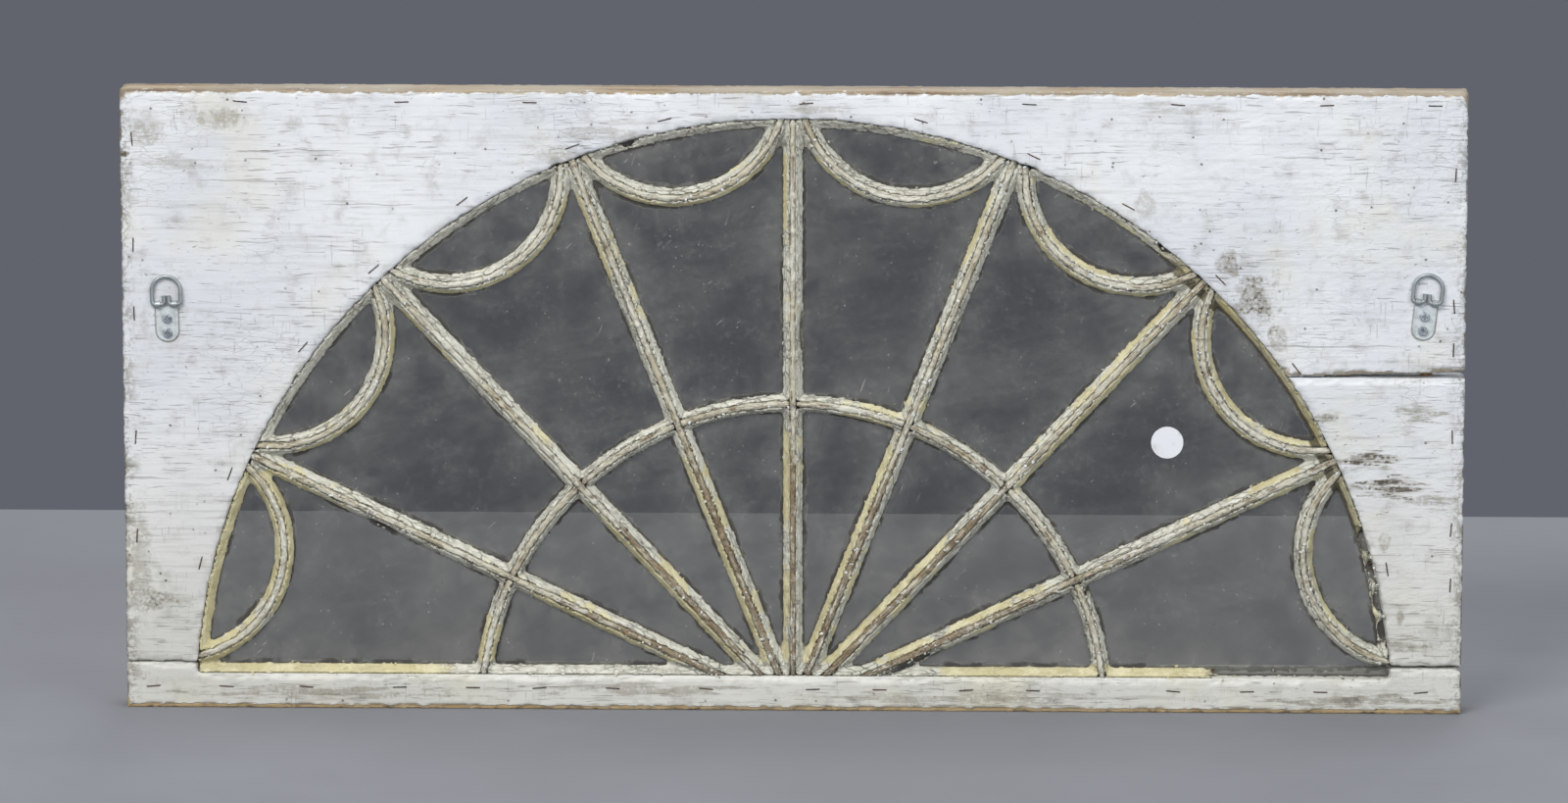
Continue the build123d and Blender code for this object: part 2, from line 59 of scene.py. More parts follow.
Colour = tuple[float, float, float]
SASH = "sash"
EDGE = "edge"  # point attribute: how far a point stands out on a corner, 0 to 1
LOSS = "loss"  # point attribute: how much of the skin has come off, 0 to 1
RUN = "run"  # point attribute: place along and across the nearest bar, and through the sash

# The fan, seen from the puttied side. Sections lie between rays from the fan's centre.
SECTIONS = 8
BASE_ANGLE = math.radians(3.884)  # from level to the first section
SECTION_ANGLE = (math.pi - 2 * BASE_ANGLE) / SECTIONS
INNER_BAR = 0.267  # radius of the inner half-round bar
SCALLOP_REACH = 0.5511  # from the fan's centre to a scallop's centre
SCALLOP_RADIUS = 0.0971


def tint(red: int, green: int, blue: int) -> Colour:
    """A display colour of 0 to 255 as linear light.

    Args:
        red: Red of 0 to 255.
        green: Green of 0 to 255.
        blue: Blue of 0 to 255.

    Returns:
        The linear colour.
    """
    shares = (red / 255, green / 255, blue / 255)
    return tuple(s / 12.92 if s <= 0.04045 else ((s + 0.055) / 1.055) ** 2.4 for s in shares)


# ------------------------------------------------------------------ node graphs
def _operator(operation: str, reflected: bool = False) -> Callable[["Sock", Any], "Sock"]:
    """Makes a method that adds a Math node of two values.

    Args:
        operation: The Math node's operation.
        reflected: Whether the socket comes second.

    Returns:
        The method.
    """

    def apply(sock: "Sock", other: Any) -> "Sock":
        """The operation's result."""
        values = (other, sock) if reflected else (sock, other)
        return sock._math(operation, *values)

    return apply


class Sock:
    """A socket of a node graph that takes part in Python arithmetic."""

    def __init__(self, graph: "Graph", socket: bpy.types.NodeSocket) -> None:
        """Wraps one output socket of a graph."""
        self.graph = graph
        self.socket = socket

    def _math(self, operation: str, *values: Any) -> "Sock":
        """Adds a Math node and returns its result."""
        inputs = dict(enumerate(values))
        return self.graph.node("ShaderNodeMath", {"operation": operation}, inputs).out(0)

    __add__ = _operator("ADD")
    __radd__ = _operator("ADD", reflected=True)
    __sub__ = _operator("SUBTRACT")
    __rsub__ = _operator("SUBTRACT", reflected=True)
    __mul__ = _operator("MULTIPLY")
    __rmul__ = _operator("MULTIPLY", reflected=True)
    __truediv__ = _operator("DIVIDE")
    power = _operator("POWER")
    least = _operator("MINIMUM")
    most = _operator("MAXIMUM")

    def __abs__(self) -> "Sock":
        """Size without sign."""
        return self._math("ABSOLUTE", self)

    def rise(self, low: float, high: float) -> "Sock":
        """A smooth step from 0 at low to 1 at high.

        Args:
            low: Where the step starts. It may lie above high for a falling step.
            high: Where the step ends.

        Returns:
            The stepped value, 0 to 1.
        """
        settings = {"interpolation_type": "SMOOTHSTEP", "clamp": True}
        turn = low > high
        inputs = {0: self, 1: min(low, high), 2: max(low, high), 3: float(turn), 4: float(not turn)}
        return self.graph.node("ShaderNodeMapRange", settings, inputs).out(0)


class Made:
    """A node that has been added to a graph."""

    def __init__(self, graph: "Graph", node: bpy.types.Node) -> None:
        """Wraps one node of a graph."""
        self.graph = graph
        self.node = node

    def out(self, key: int | str = 0) -> Sock:
        """An output by place, identifier or name."""
        return Sock(self.graph, self.graph.pick(self.node.outputs, key))


class Graph:
    """Writes the nodes of a material or of a geometry tree."""

    def __init__(self, tree: bpy.types.NodeTree) -> None:
        """Wraps a node tree."""
        self.tree = tree

    @staticmethod
    def pick(sockets: Any, key: int | str) -> bpy.types.NodeSocket:
        """Finds a socket.

        Args:
            sockets: A node's inputs or outputs.
            key: Place, identifier or name.

        Returns:
            The socket.
        """
        if isinstance(key, int):
            return sockets[key]
        for socket in sockets:
            if socket.identifier == key:
                return socket
        return sockets[key]

    def node(self, kind: str, settings: dict | None = None, inputs: dict | None = None) -> Made:
        """Adds a node.

        Args:
            kind: The node's type.
            settings: Properties, set first.
            inputs: Values or sockets, by the input's place, identifier or name.

        Returns:
            The node.
        """
        node = self.tree.nodes.new(kind)
        for name, value in (settings or {}).items():
            setattr(node, name, value)
        for key, value in (inputs or {}).items():
            socket = self.pick(node.inputs, key)
            if isinstance(value, Sock):
                self.tree.links.new(value.socket, socket)
            else:
                socket.default_value = value
        return Made(self, node)

    def place(self) -> Sock:
        """The point on the piece, in the sash's frame."""
        return self.node("ShaderNodeTexCoord").out("Object")

    def axes(self, vector: Sock) -> tuple[Sock, Sock, Sock]:
        """The three parts of a vector."""
        split = self.node("ShaderNodeSeparateXYZ", {}, {0: vector})
        return split.out(0), split.out(1), split.out(2)

    def stretched(self, vector: Sock, scale: Sequence[float], turn: float = 0.0) -> Sock:
        """A vector scaled apart on its axes.

        Args:
            vector: The vector.
            scale: Factor on each axis.
            turn: Angle about Y in radians, applied first.

        Returns:
            The new vector.
        """
        inputs = {"Vector": vector, "Rotation": (0.0, turn, 0.0)}
        turned = self.node("ShaderNodeMapping", {"vector_type": "POINT"}, inputs).out(0)
        inputs = {"Vector": turned, "Scale": tuple(scale)}
        return self.node("ShaderNodeMapping", {"vector_type": "POINT"}, inputs).out(0)

    def noise(self, vector: Sock, scale: float, detail: float = 3.0, rough: float = 0.5) -> Sock:
        """Smooth noise of 0 to 1.

        Args:
            vector: Where it is read.
            scale: Lumps per unit.
            detail: Octaves.
            rough: Strength of each further octave.

        Returns:
            The noise's value.
        """
        inputs = {"Vector": vector, "Scale": scale, "Detail": detail, "Roughness": rough}
        return self.node("ShaderNodeTexNoise", {}, inputs).out(0)

    def grain(
        self,
        vector: Sock,
        scale: Sequence[float],
        detail: float = 3.0,
        rough: float = 0.5,
        turn: float = 0.0,
    ) -> Sock:
        """Smooth noise of 0 to 1 that is scaled apart on its axes.

        Args:
            vector: Where it is read.
            scale: Lumps per unit on each axis.
            detail: Octaves.
            rough: Strength of each further octave.
            turn: Angle about Y in radians, applied first.

        Returns:
            The noise's value.
        """
        return self.noise(self.stretched(vector, scale, turn), 1.0, detail, rough)

    def cells(self, vector: Sock, scale: float, feature: str = "F1") -> Sock:
        """Distance to the nearest cell's point, or to its edge."""
        settings = {"feature": feature}
        return self.node(
            "ShaderNodeTexVoronoi", settings, {"Vector": vector, "Scale": scale}
        ).out("Distance")

    def blend(self, share: Any, first: Any, second: Any, mode: str = "MIX") -> Sock:
        """Mixes two colours.

        Args:
            share: How much of the second.
            first: Colour at 0.
            second: Colour at 1.
            mode: The blend type.

        Returns:
            The mixed colour.
        """
        settings = {"data_type": "RGBA", "blend_type": mode}
        values = {"Factor_Float": share, "A_Color": first, "B_Color": second}
        for key in ("A_Color", "B_Color"):
            if isinstance(values[key], tuple) and len(values[key]) == 3:
                values[key] = (*values[key], 1.0)
        return self.node("ShaderNodeMix", settings, values).out("Result_Color")

    def vector_math(self, operation: str, inputs: dict) -> Made:
        """A Vector Math node."""
        return self.node("ShaderNodeVectorMath", {"operation": operation}, inputs)

    def attribute(self, name: str) -> Sock:
        """A number stored on the mesh."""
        return self.node("ShaderNodeAttribute", {"attribute_name": name}).out("Fac")

    def vector_attribute(self, name: str) -> Sock:
        """A vector stored on the mesh."""
        return self.node("ShaderNodeAttribute", {"attribute_name": name}).out("Vector")

    def bump(self, height: Sock, depth: float, strength: float = 1.0) -> Sock:
        """A normal that follows a height.

        Args:
            height: Height of 0 to 1.
            depth: Depth in metres.
            strength: Share of the effect.

        Returns:
            The normal.
        """
        inputs = {"Height": height, "Distance": depth, "Strength": strength}
        return self.node("ShaderNodeBump", {}, inputs).out("Normal")


# ------------------------------------------------------------------ finishes
@dataclass(frozen=True)
class Finish:
    """A named finish that writes its own material."""

    name: str

    def material(self) -> bpy.types.Material:
        """Makes the material, once.

        Returns:
            The material.
        """
        made = bpy.data.materials.get(self.name)
        if made:
            return made
        made = bpy.data.materials.new(self.name)
        made.use_nodes = True
        made.node_tree.nodes.clear()
        graph = Graph(made.node_tree)
        surface = self.surface(graph)
        graph.node("ShaderNodeOutputMaterial", {}, {"Surface": surface})
        return made

    def surface(self, graph: Graph) -> Sock:
        """The shader of the finish."""
        raise NotImplementedError

    @staticmethod
    def principled(graph: Graph, **values: Any) -> Sock:
        """A Principled shader.

        Args:
            graph: The graph.
            values: Inputs, with underscores for spaces.

        Returns:
            The shader socket.
        """
        inputs = {key.replace("_", " "): value for key, value in values.items()}
        for key, value in inputs.items():
            if isinstance(value, tuple) and len(value) == 3 and "Color" in key:
                inputs[key] = (*value, 1.0)
        return graph.node("ShaderNodeBsdfPrincipled", {}, inputs).out(0)


@dataclass(frozen=True)
class Stain:
    """A soft patch on the puttied face."""

    x: float
    z: float
    half_width: float
    half_height: float
    strength: float
    streaked: bool = False


BOARD_STAINS = (
    Stain(-0.490, 0.512, 0.040, 0.013, 0.80),
    Stain(-0.550, 0.506, 0.020, 0.020, 0.75),
    Stain(-0.425, 0.507, 0.014, 0.010, 0.50),
    Stain(-0.530, 0.475, 0.034, 0.007, 0.45, True),
    Stain(-0.570, 0.481, 0.007, 0.005, 3.00),
    Stain(0.330, 0.524, 0.050, 0.007, 0.45, True),
    Stain(0.020, 0.522, 0.030, 0.006, 0.50, True),
    Stain(-0.160, 0.500, 0.060, 0.008, 0.50, True),
    Stain(0.394, 0.356, 0.024, 0.036, 1.15),
    Stain(0.372, 0.388, 0.016, 0.016, 0.95),
    Stain(0.412, 0.325, 0.012, 0.020, 0.80),
    Stain(0.300, 0.440, 0.012, 0.018, 0.55),
    Stain(0.488, 0.222, 0.032, 0.010, 1.20, True),
    Stain(0.535, 0.262, 0.030, 0.009, 0.85, True),
    Stain(0.510, 0.198, 0.040, 0.011, 1.10, True),
    Stain(0.545, 0.185, 0.026, 0.008, 0.80, True),
    Stain(0.452, 0.258, 0.016, 0.008, 0.90, True),
    Stain(0.520, 0.062, 0.026, 0.010, 0.85, True),
    Stain(0.505, 0.150, 0.006, 0.010, 0.80),
    Stain(0.520, 0.088, 0.005, 0.012, 0.90),
    Stain(0.548, 0.070, 0.016, 0.030, 0.45),
    Stain(-0.540, 0.094, 0.034, 0.012, 1.00),
    Stain(-0.558, 0.130, 0.010, 0.060, 0.70),
    Stain(-0.470, 0.068, 0.014, 0.030, 0.55),
    Stain(-0.415, 0.290, 0.014, 0.028, 0.60),
    Stain(-0.200, 0.482, 0.026, 0.014, 0.55),
    Stain(-0.530, 0.345, 0.018, 0.050, 0.30),
    Stain(0.150, 0.012, 0.140, 0.008, 0.70, True),
    Stain(-0.130, 0.018, 0.120, 0.007, 0.75, True),
    Stain(-0.400, 0.014, 0.150, 0.008, 0.80, True),
    Stain(0.480, 0.012, 0.090, 0.007, 0.85, True),
)


@dataclass(frozen=True)
class PlateMark:
    """Where a hanger's plate covers the paint."""

    x: float
    z: float
    lean: float = -0.026
    half_width: float = 0.0093
    half_straight: float = 0.0090


@dataclass(frozen=True)
class PaintedPine(Finish):
    """Old white oil paint on pine boards, cracked, scuffed and worn through at the arrises."""

    white: Colour = tint(228, 230, 232)
    cool: Colour = tint(214, 217, 222)
    cream: Colour = tint(220, 217, 198)
    dirt: Colour = tint(120, 113, 98)
    soot: Colour = tint(82, 74, 62)
    crack: Colour = tint(96, 90, 80)
    wood: Colour = tint(160, 140, 108)
    dark_wood: Colour = tint(98, 78, 60)
    tan_wood: Colour = tint(198, 170, 122)
    half_width: float = 0.5725
    height: float = 0.537
    face: float = -0.0165
    middle_joint: float = 0.2935
    stains: tuple[Stain, ...] = BOARD_STAINS
    plates: tuple[PlateMark, ...] = (PlateMark(-0.5337, 0.338), PlateMark(0.5372, 0.344, 0.105))

    def _stained(self, x: Sock, z: Sock, ragged: Sock, streaks: Sock) -> Sock:
        """The stains on the puttied face, 0 to 1.

        Args:
            x: Place across.
            z: Height.
            ragged: Noise that breaks up a round patch.
            streaks: Level noise that breaks up a streaked patch.

        Returns:
            The mask.
        """
        total: Sock | float = 0.0
        for stain in self.stains:
            across = (x - stain.x) / stain.half_width
            up = (z - stain.z) / stain.half_height
            reach = across * across + up * up
            texture = streaks if stain.streaked else ragged
            patch = (reach + (texture - 0.5) * 5.0).rise(0.75, 0.05) * stain.strength
            total = patch + total
        return total.least(1.0)

    def _beside_plates(self, x: Sock, z: Sock) -> Sock:
        """A painted shadow line round each hanger's plate, 0 to 1.

        Args:
            x: Place across.
            z: Height.

        Returns:
            The mask.
        """
        total: Sock | float = 0.0
        for plate in self.plates:
            along = (abs(z - plate.z) - plate.half_straight).most(0.0)
            lean = (x - plate.x) - (z - plate.z) * plate.lean
            off = (lean * lean + along * along).power(0.5) - plate.half_width
            total = off.rise(0.0022, 0.0004) * (z - plate.z).rise(0.0125, 0.0110) + total
        return total

    def _cracks(self, graph: Graph, place: Sock) -> Sock:
        """Fine level cracks in the paint, 0 to 1.

        Args:
            graph: The graph.
            place: The point on the piece.

        Returns:
            The mask.
        """
        bend = graph.noise(place, 24.0, 2.0) * 0.006
        x, y, z = graph.axes(place)
        bent = graph.node("ShaderNodeCombineXYZ", {}, {0: x + bend, 1: y, 2: z + bend}).out(0)
        hair = graph.grain(bent, (42.0, 20.0, 640.0), 2.0)
        hair = hair.rise(0.625, 0.69) * graph.noise(place, 15.0, 3.0, 0.6).rise(0.36, 0.56)
        upright = graph.grain(bent, (700.0, 20.0, 46.0), 2.0)
        upright = upright.rise(0.665, 0.72) * graph.noise(place, 11.0, 3.0, 0.6).rise(0.44, 0.6)
        craze = graph.cells(graph.stretched(bent, (60.0, 40.0, 190.0)), 1.0, "DISTANCE_TO_EDGE")
        craze = craze.rise(0.034, 0.006) * graph.noise(place, 8.0, 3.0, 0.6).rise(0.52, 0.66)
        long = graph.grain(bent, (6.0, 20.0, 330.0), 2.0)
        long = long.rise(0.722, 0.738)
        return (hair * 0.55 + upright * 0.35 + craze * 0.35 + long * 0.5).least(1.0)

    def _worn_edges(self, graph: Graph, place: Sock, torn: Sock) -> Sock:
        """Where the paint has gone from the sash's outside edges and open joints, 0 to 1.

        Args:
            graph: The graph.
            place: The point on the piece.
            torn: Noise that makes the paint's edge ragged.

        Returns:
            The mask.
        """
        x, y, z = graph.axes(place)
        flank = self.half_width - abs(x)
        level = z.least(self.height - z)
        side = flank.least(level)
        tears = (torn - 0.5) * 0.013
        foot = (z - (tears * 0.5 + 0.0032)).rise(0.0008, -0.0004)
        head = (self.height - z - (tears * 0.8 + 0.0012)).rise(0.0008, -0.0004)
        flanks = (flank - (tears - 0.0006)).rise(0.0008, -0.0003)
        rim = foot.most(head).most(flanks)
        above = z - self.middle_joint
        split = above.rise(0.0095, 0.0060) * above.rise(0.0, 0.0012) * x.rise(0.405, 0.420)
        outside = level.rise(0.010, 0.006).most(split * 0.9)
        edge = graph.attribute(EDGE)
        corner = (edge + (torn - 0.5) * 1.7).rise(0.50, 0.62).most(graph.attribute(LOSS))
        off_face = y.rise(self.face + 0.0008, self.face + 0.0026)
        patchy = graph.grain(place, (11.0, 50.0, 30.0), 5.0, 0.62)
        kept_end = z.rise(0.50, 0.52) * x.rise(-0.30, -0.40) * 0.45
        ends = side.rise(0.0035, 0.0015) * off_face * (patchy + kept_end).rise(0.64, 0.46)
        return (rim * 0.95).most(corner * outside).most(ends)

    def surface(self, graph: Graph) -> Sock:
        """White paint over bare and dirty wood."""
        place = graph.place()
        x, y, z = graph.axes(place)
        broad = graph.noise(place, 7.0, 4.0, 0.55)
        lumps = graph.noise(place, 48.0, 6.0, 0.66)
        fine = graph.noise(place, 330.0, 4.0, 0.62)
        paint = graph.blend(broad.rise(0.35, 0.7), self.white, self.cool)
        # Darker and creamier towards the bottom, through the cream and grey mixes below.
        low = z.rise(0.30, 0.02) * 1.15
        creamy = graph.noise(place, 9.0, 4.0, 0.62).rise(0.5, 0.72) * 0.45 + low * 0.42
        paint = graph.blend(creamy.least(1.0), paint, self.cream)
        brushed = graph.grain(place, (11.0, 60.0, 260.0), 4.0, 0.65)
        front = y.rise(0.0, -0.012)
        flank = (self.half_width - abs(x)).rise(0.016, 0.002)
        grey = brushed.rise(0.47, 0.74) * 0.26 + lumps.rise(0.50, 0.76) * 0.34 + low * 0.12
        grey = grey + flank * (lumps + fine - 0.5).rise(0.42, 0.62) * 0.5
        # Painted shade: a dark line round each hanger's plate joins the grey, which is mixed
        # towards the dirt colour.
        grey = grey + x.rise(-0.10, -0.50) * 0.05 + self._beside_plates(x, z) * front * 0.7
        paint = graph.blend(grey.least(0.7), paint, self.dirt)
        cracks = self._cracks(graph, place)
        paint = graph.blend(cracks * 0.72, paint, self.crack)

        streaks = graph.grain(place, (26.0, 60.0, 230.0), 5.0, 0.68)
        soiled = self._stained(x, z, lumps, streaks) * front
        soiled = (soiled * (fine + lumps - 0.5).rise(0.22, 0.60)).least(1.0)
        overlay_tone = graph.blend(fine.rise(0.36, 0.60), self.soot, tint(156, 149, 132))
        paint = graph.blend(soiled * 0.88, paint, overlay_tone)
        paint = graph.blend(soiled.rise(0.78, 1.0) * streaks.rise(0.60, 0.42), paint, self.soot)
        specks = graph.cells(place, 95.0).rise(0.14, 0.08) * lumps.rise(0.48, 0.60)
        paint = graph.blend(specks * 0.8, paint, tint(70, 62, 55))
        nicks = graph.grain(place, (150.0, 90.0, 480.0), 3.0, 0.6, turn=0.12)
        nicks = nicks.rise(0.69, 0.73) * broad.rise(0.42, 0.6)
        paint = graph.blend(nicks * 0.7, paint, tint(104, 97, 88))

        torn = graph.noise(place, 95.0, 6.0, 0.68)
        bare = self._worn_edges(graph, place, torn)
        grain = graph.grain(place, (9.0, 160.0, 420.0), 4.0, 0.6)
        wood = graph.blend(grain.rise(0.34, 0.66), self.dark_wood, self.wood)
        wood = graph.blend(broad.rise(0.36, 0.62) * 0.75, wood, tint(160, 152, 136))
        wood = graph.blend(z.rise(0.013, 0.007) * front * 0.8, wood, self.tan_wood)
        colour = graph.blend(bare, paint, wood)

        rough = 0.50 + soiled * 0.2 + bare * 0.28 + (fine - 0.5) * 0.15
        skin = (1 - bare) * 0.5 + lumps * 0.30 + brushed * 0.16 + fine * 0.10
        wrinkles = graph.grain(place, (70.0, 60.0, 190.0), 4.0, 0.6, turn=0.35)
        height = skin - cracks * 0.30 - nicks * 0.2 + bare * (grain - 0.5) * 0.3
        height = height + wrinkles * x.rise(0.15, 0.45) * 0.45
        normal = graph.bump(height, 0.0015, 0.9)
        return self.principled(graph, Base_Color=colour, Roughness=rough, Normal=normal)


@dataclass(frozen=True)
class Crazing:
    """Cracks and brushed ridges that run along a bar."""

    along: float = 34.0
    across: float = 430.0

    def ridges(self, graph: Graph) -> Sock:
        """Long ridges along the bar, 0 to 1."""
        run = graph.vector_attribute(RUN)
        scale = (self.along * 0.8, self.across, self.across * 0.7)
        return graph.grain(run, scale, 5.0, 0.66)

    def cracks(self, graph: Graph) -> Sock:
        """Cracks, most of them along the bar, 0 to 1.

        Args:
            graph: The graph.

        Returns:
            The mask.
        """
        run = graph.vector_attribute(RUN)
        sway = graph.noise(run, 90.0, 2.0) * 0.0030
        along, across, through = graph.axes(run)
        bent = graph.node(
            "ShaderNodeCombineXYZ", {}, {0: along, 1: across + sway, 2: through}
        ).out(0)
        scale = (self.along * 1.6, self.across * 0.62, self.across * 0.45)
        cells = graph.cells(graph.stretched(bent, scale), 1.0, "DISTANCE_TO_EDGE")
        here = graph.noise(run, 26.0, 4.0, 0.62).rise(0.36, 0.58)
        small = graph.cells(graph.stretched(bent, (150.0, 330.0, 330.0)), 1.0, "DISTANCE_TO_EDGE")
        there = graph.noise(run, 48.0, 3.0, 0.6).rise(0.47, 0.60)
        return (cells.rise(0.085, 0.015) * here).most(small.rise(0.10, 0.02) * there * 0.8)


@dataclass(frozen=True)
class BarPaint(Finish):
    """Weathered grey and beige paint on thin bars, cracked down to the wood near the hub."""

    pale: Colour = tint(210, 208, 194)
    beige: Colour = tint(186, 179, 156)
    wood: Colour = tint(146, 124, 94)
    dark: Colour = tint(84, 72, 58)
    back_white: Colour = tint(222, 225, 228)
    hub_reach: float = 0.27
    crazing: Crazing = Crazing()

    def surface(self, graph: Graph) -> Sock:
        """Cracked paint on the puttied side and sounder white paint behind."""
        place = graph.place()
        x, y, z = graph.axes(place)
        behind = y.rise(-0.003, 0.004)
        reach = (x * x + z * z).power(0.5)
        near_hub = reach.rise(self.hub_reach + 0.03, self.hub_reach - 0.10)
        broad = graph.noise(place, 17.0, 4.0, 0.6)
        lumps = graph.noise(place, 130.0, 5.0, 0.65)
        fine = graph.noise(place, 560.0, 4.0, 0.65)
        ridges = self.crazing.ridges(graph)
        cracks = self.crazing.cracks(graph) * (1 - behind * 0.6)
        paint = graph.blend(broad.rise(0.38, 0.66), self.pale, self.beige)
        paint = graph.blend(ridges.rise(0.52, 0.74) * 0.35, paint, self.dark)
        paint = graph.blend(behind * 0.85, paint, self.back_white)
        flaked = (ridges * 0.6 + lumps * 0.4 + near_hub * 0.10 + broad * 0.1).rise(0.60, 0.66)
        flaked = flaked * (1 - behind * 0.75)
        wood = graph.blend(fine.rise(0.35, 0.62), self.dark, self.wood)
        bare = (flaked * 0.80 + cracks * 0.55).least(1.0)
        colour = graph.blend(bare, paint, wood)
        rough = 0.62 + bare * 0.25 + (fine - 0.5) * 0.2
        height = (1 - bare) * 0.5 + ridges * 0.25 + lumps * 0.2 + fine * 0.1
        normal = graph.bump(height, 0.0011, 0.9)
        return self.principled(graph, Base_Color=colour, Roughness=rough, Normal=normal)


@dataclass(frozen=True)
class HardPutty(Finish):
    """Linseed putty, painted grey-white in places and bare pale yellow in others."""

    yellow: Colour = tint(196, 187, 145)
    butter: Colour = tint(214, 207, 170)
    grey: Colour = tint(194, 193, 178)
    light: Colour = tint(219, 218, 206)
    olive: Colour = tint(158, 148, 96)
    shade: Colour = tint(120, 111, 88)
    dark: Colour = tint(66, 58, 46)
    hub_reach: float = 0.30
    rail_top: float = 0.0412
    crazing: Crazing = Crazing(40.0, 380.0)

    def _fresh(self, graph: Graph, place: Sock, patches: Sock) -> Sock:
        """Where the putty is bare and yellow, 0 to 1.

        Args:
            graph: The graph.
            place: The point on the piece.
            patches: Noise that makes the patches ragged.

        Returns:
            The mask.
        """
        x, _, z = graph.axes(place)
        _, across, _ = graph.axes(graph.vector_attribute(RUN))
        broad = graph.noise(place, 10.0, 4.0, 0.6)
        reach = (x * x + z * z).power(0.5)
        hub = reach.rise(self.hub_reach, self.hub_reach - 0.12) * 0.13
        hub = hub * (0.6 + across.rise(0.0, 0.004))
        corner = x.rise(-0.405, -0.440) * z.rise(0.225, 0.200) * 0.30
        belly = across.rise(0.0035, 0.0055) * reach.rise(0.400, 0.425) * reach.rise(0.488, 0.476)
        belly = belly * z.rise(0.12, 0.22) * 0.22
        under = across.rise(-0.003, -0.006) * x.rise(0.10, 0.22) * reach.rise(0.25, 0.29) * 0.12
        share = broad + hub + corner + belly + under + (patches - 0.5) * 0.5
        return share.rise(0.60, 0.67)

    def _rail(self, graph: Graph, place: Sock, patches: Sock) -> tuple[Sock, Sock]:
        """The strip on the rail, and where it is bare and yellow.

        Args:
            graph: The graph.
            place: The point on the piece.
            patches: Noise that makes the patches ragged.

        Returns:
            Masks of the strip and of its yellow lengths.
        """
        x, _, z = graph.axes(place)
        strip = z.rise(self.rail_top + 0.0005, self.rail_top - 0.0005)
        jitter = (patches - 0.5) * 0.06
        left = abs(x + 0.412 + jitter).rise(0.118, 0.112)
        right = abs(x - 0.250 + jitter).rise(0.128, 0.122)
        return strip, strip * left.most(right)

    def surface(self, graph: Graph) -> Sock:
        """Cracked, chipped putty with brush marks of paint."""
        place = graph.place()
        patches = graph.noise(place, 60.0, 5.0, 0.64)
        lumps = graph.noise(place, 170.0, 5.0, 0.65)
        fine = graph.noise(place, 640.0, 4.0, 0.65)
        ridges = self.crazing.ridges(graph)
        fresh = self._fresh(graph, place, patches)
        body = graph.blend(patches.rise(0.4, 0.62), self.yellow, self.butter)
        weathered = graph.blend(lumps.rise(0.38, 0.62), self.grey, self.light)
        strip, bare_strip = self._rail(graph, place, patches)
        fresh = (fresh * (1 - strip)).most(bare_strip)
        colour = graph.blend(fresh, weathered, body)
        x, y, z = graph.axes(place)
        reach = (x * x + z * z).power(0.5)
        olive = x.rise(0.30, 0.34) * z.rise(0.13, 0.15) * reach.rise(0.4985, 0.5005)
        colour = graph.blend(olive * 0.65, colour, self.olive)
        inner = olive * (reach + (patches - 0.5) * 0.004).rise(0.5078, 0.5068)
        colour = graph.blend(inner * 0.85, colour, self.dark)
        edge = graph.attribute(EDGE)
        cracks = self.crazing.cracks(graph) * (1 - fresh * 0.7)
        dirty = (ridges * 0.55 + lumps * 0.45).rise(0.51, 0.67) * 0.62
        colour = graph.blend(dirty * (1 - fresh * 0.35), colour, self.shade)
        colour = graph.blend(cracks * 0.70, colour, self.dark)
        stub = strip * x.rise(0.350, 0.362)
        colour = graph.blend(stub * lumps.rise(0.62, 0.42) * 0.85, colour, self.dark)
        # Painted highlight: lighter where the putty stands out on a corner.
        colour = graph.blend(edge.rise(0.35, 0.75) * 0.3, colour, tint(226, 226, 212))
        # Painted shade: dark at the putty's foot, where it meets the glass.
        foot = y.rise(-0.0090, -0.0068)
        colour = graph.blend(foot * patches.rise(0.36, 0.60) * 0.75, colour, self.dark)
        rough = 0.68 + (fine - 0.5) * 0.3
        height = lumps * 0.40 + ridges * 0.35 + fine * 0.2 - cracks * 0.45
        normal = graph.bump(height, 0.0011, 0.9)
        return self.principled(graph, Base_Color=colour, Roughness=rough, Normal=normal)


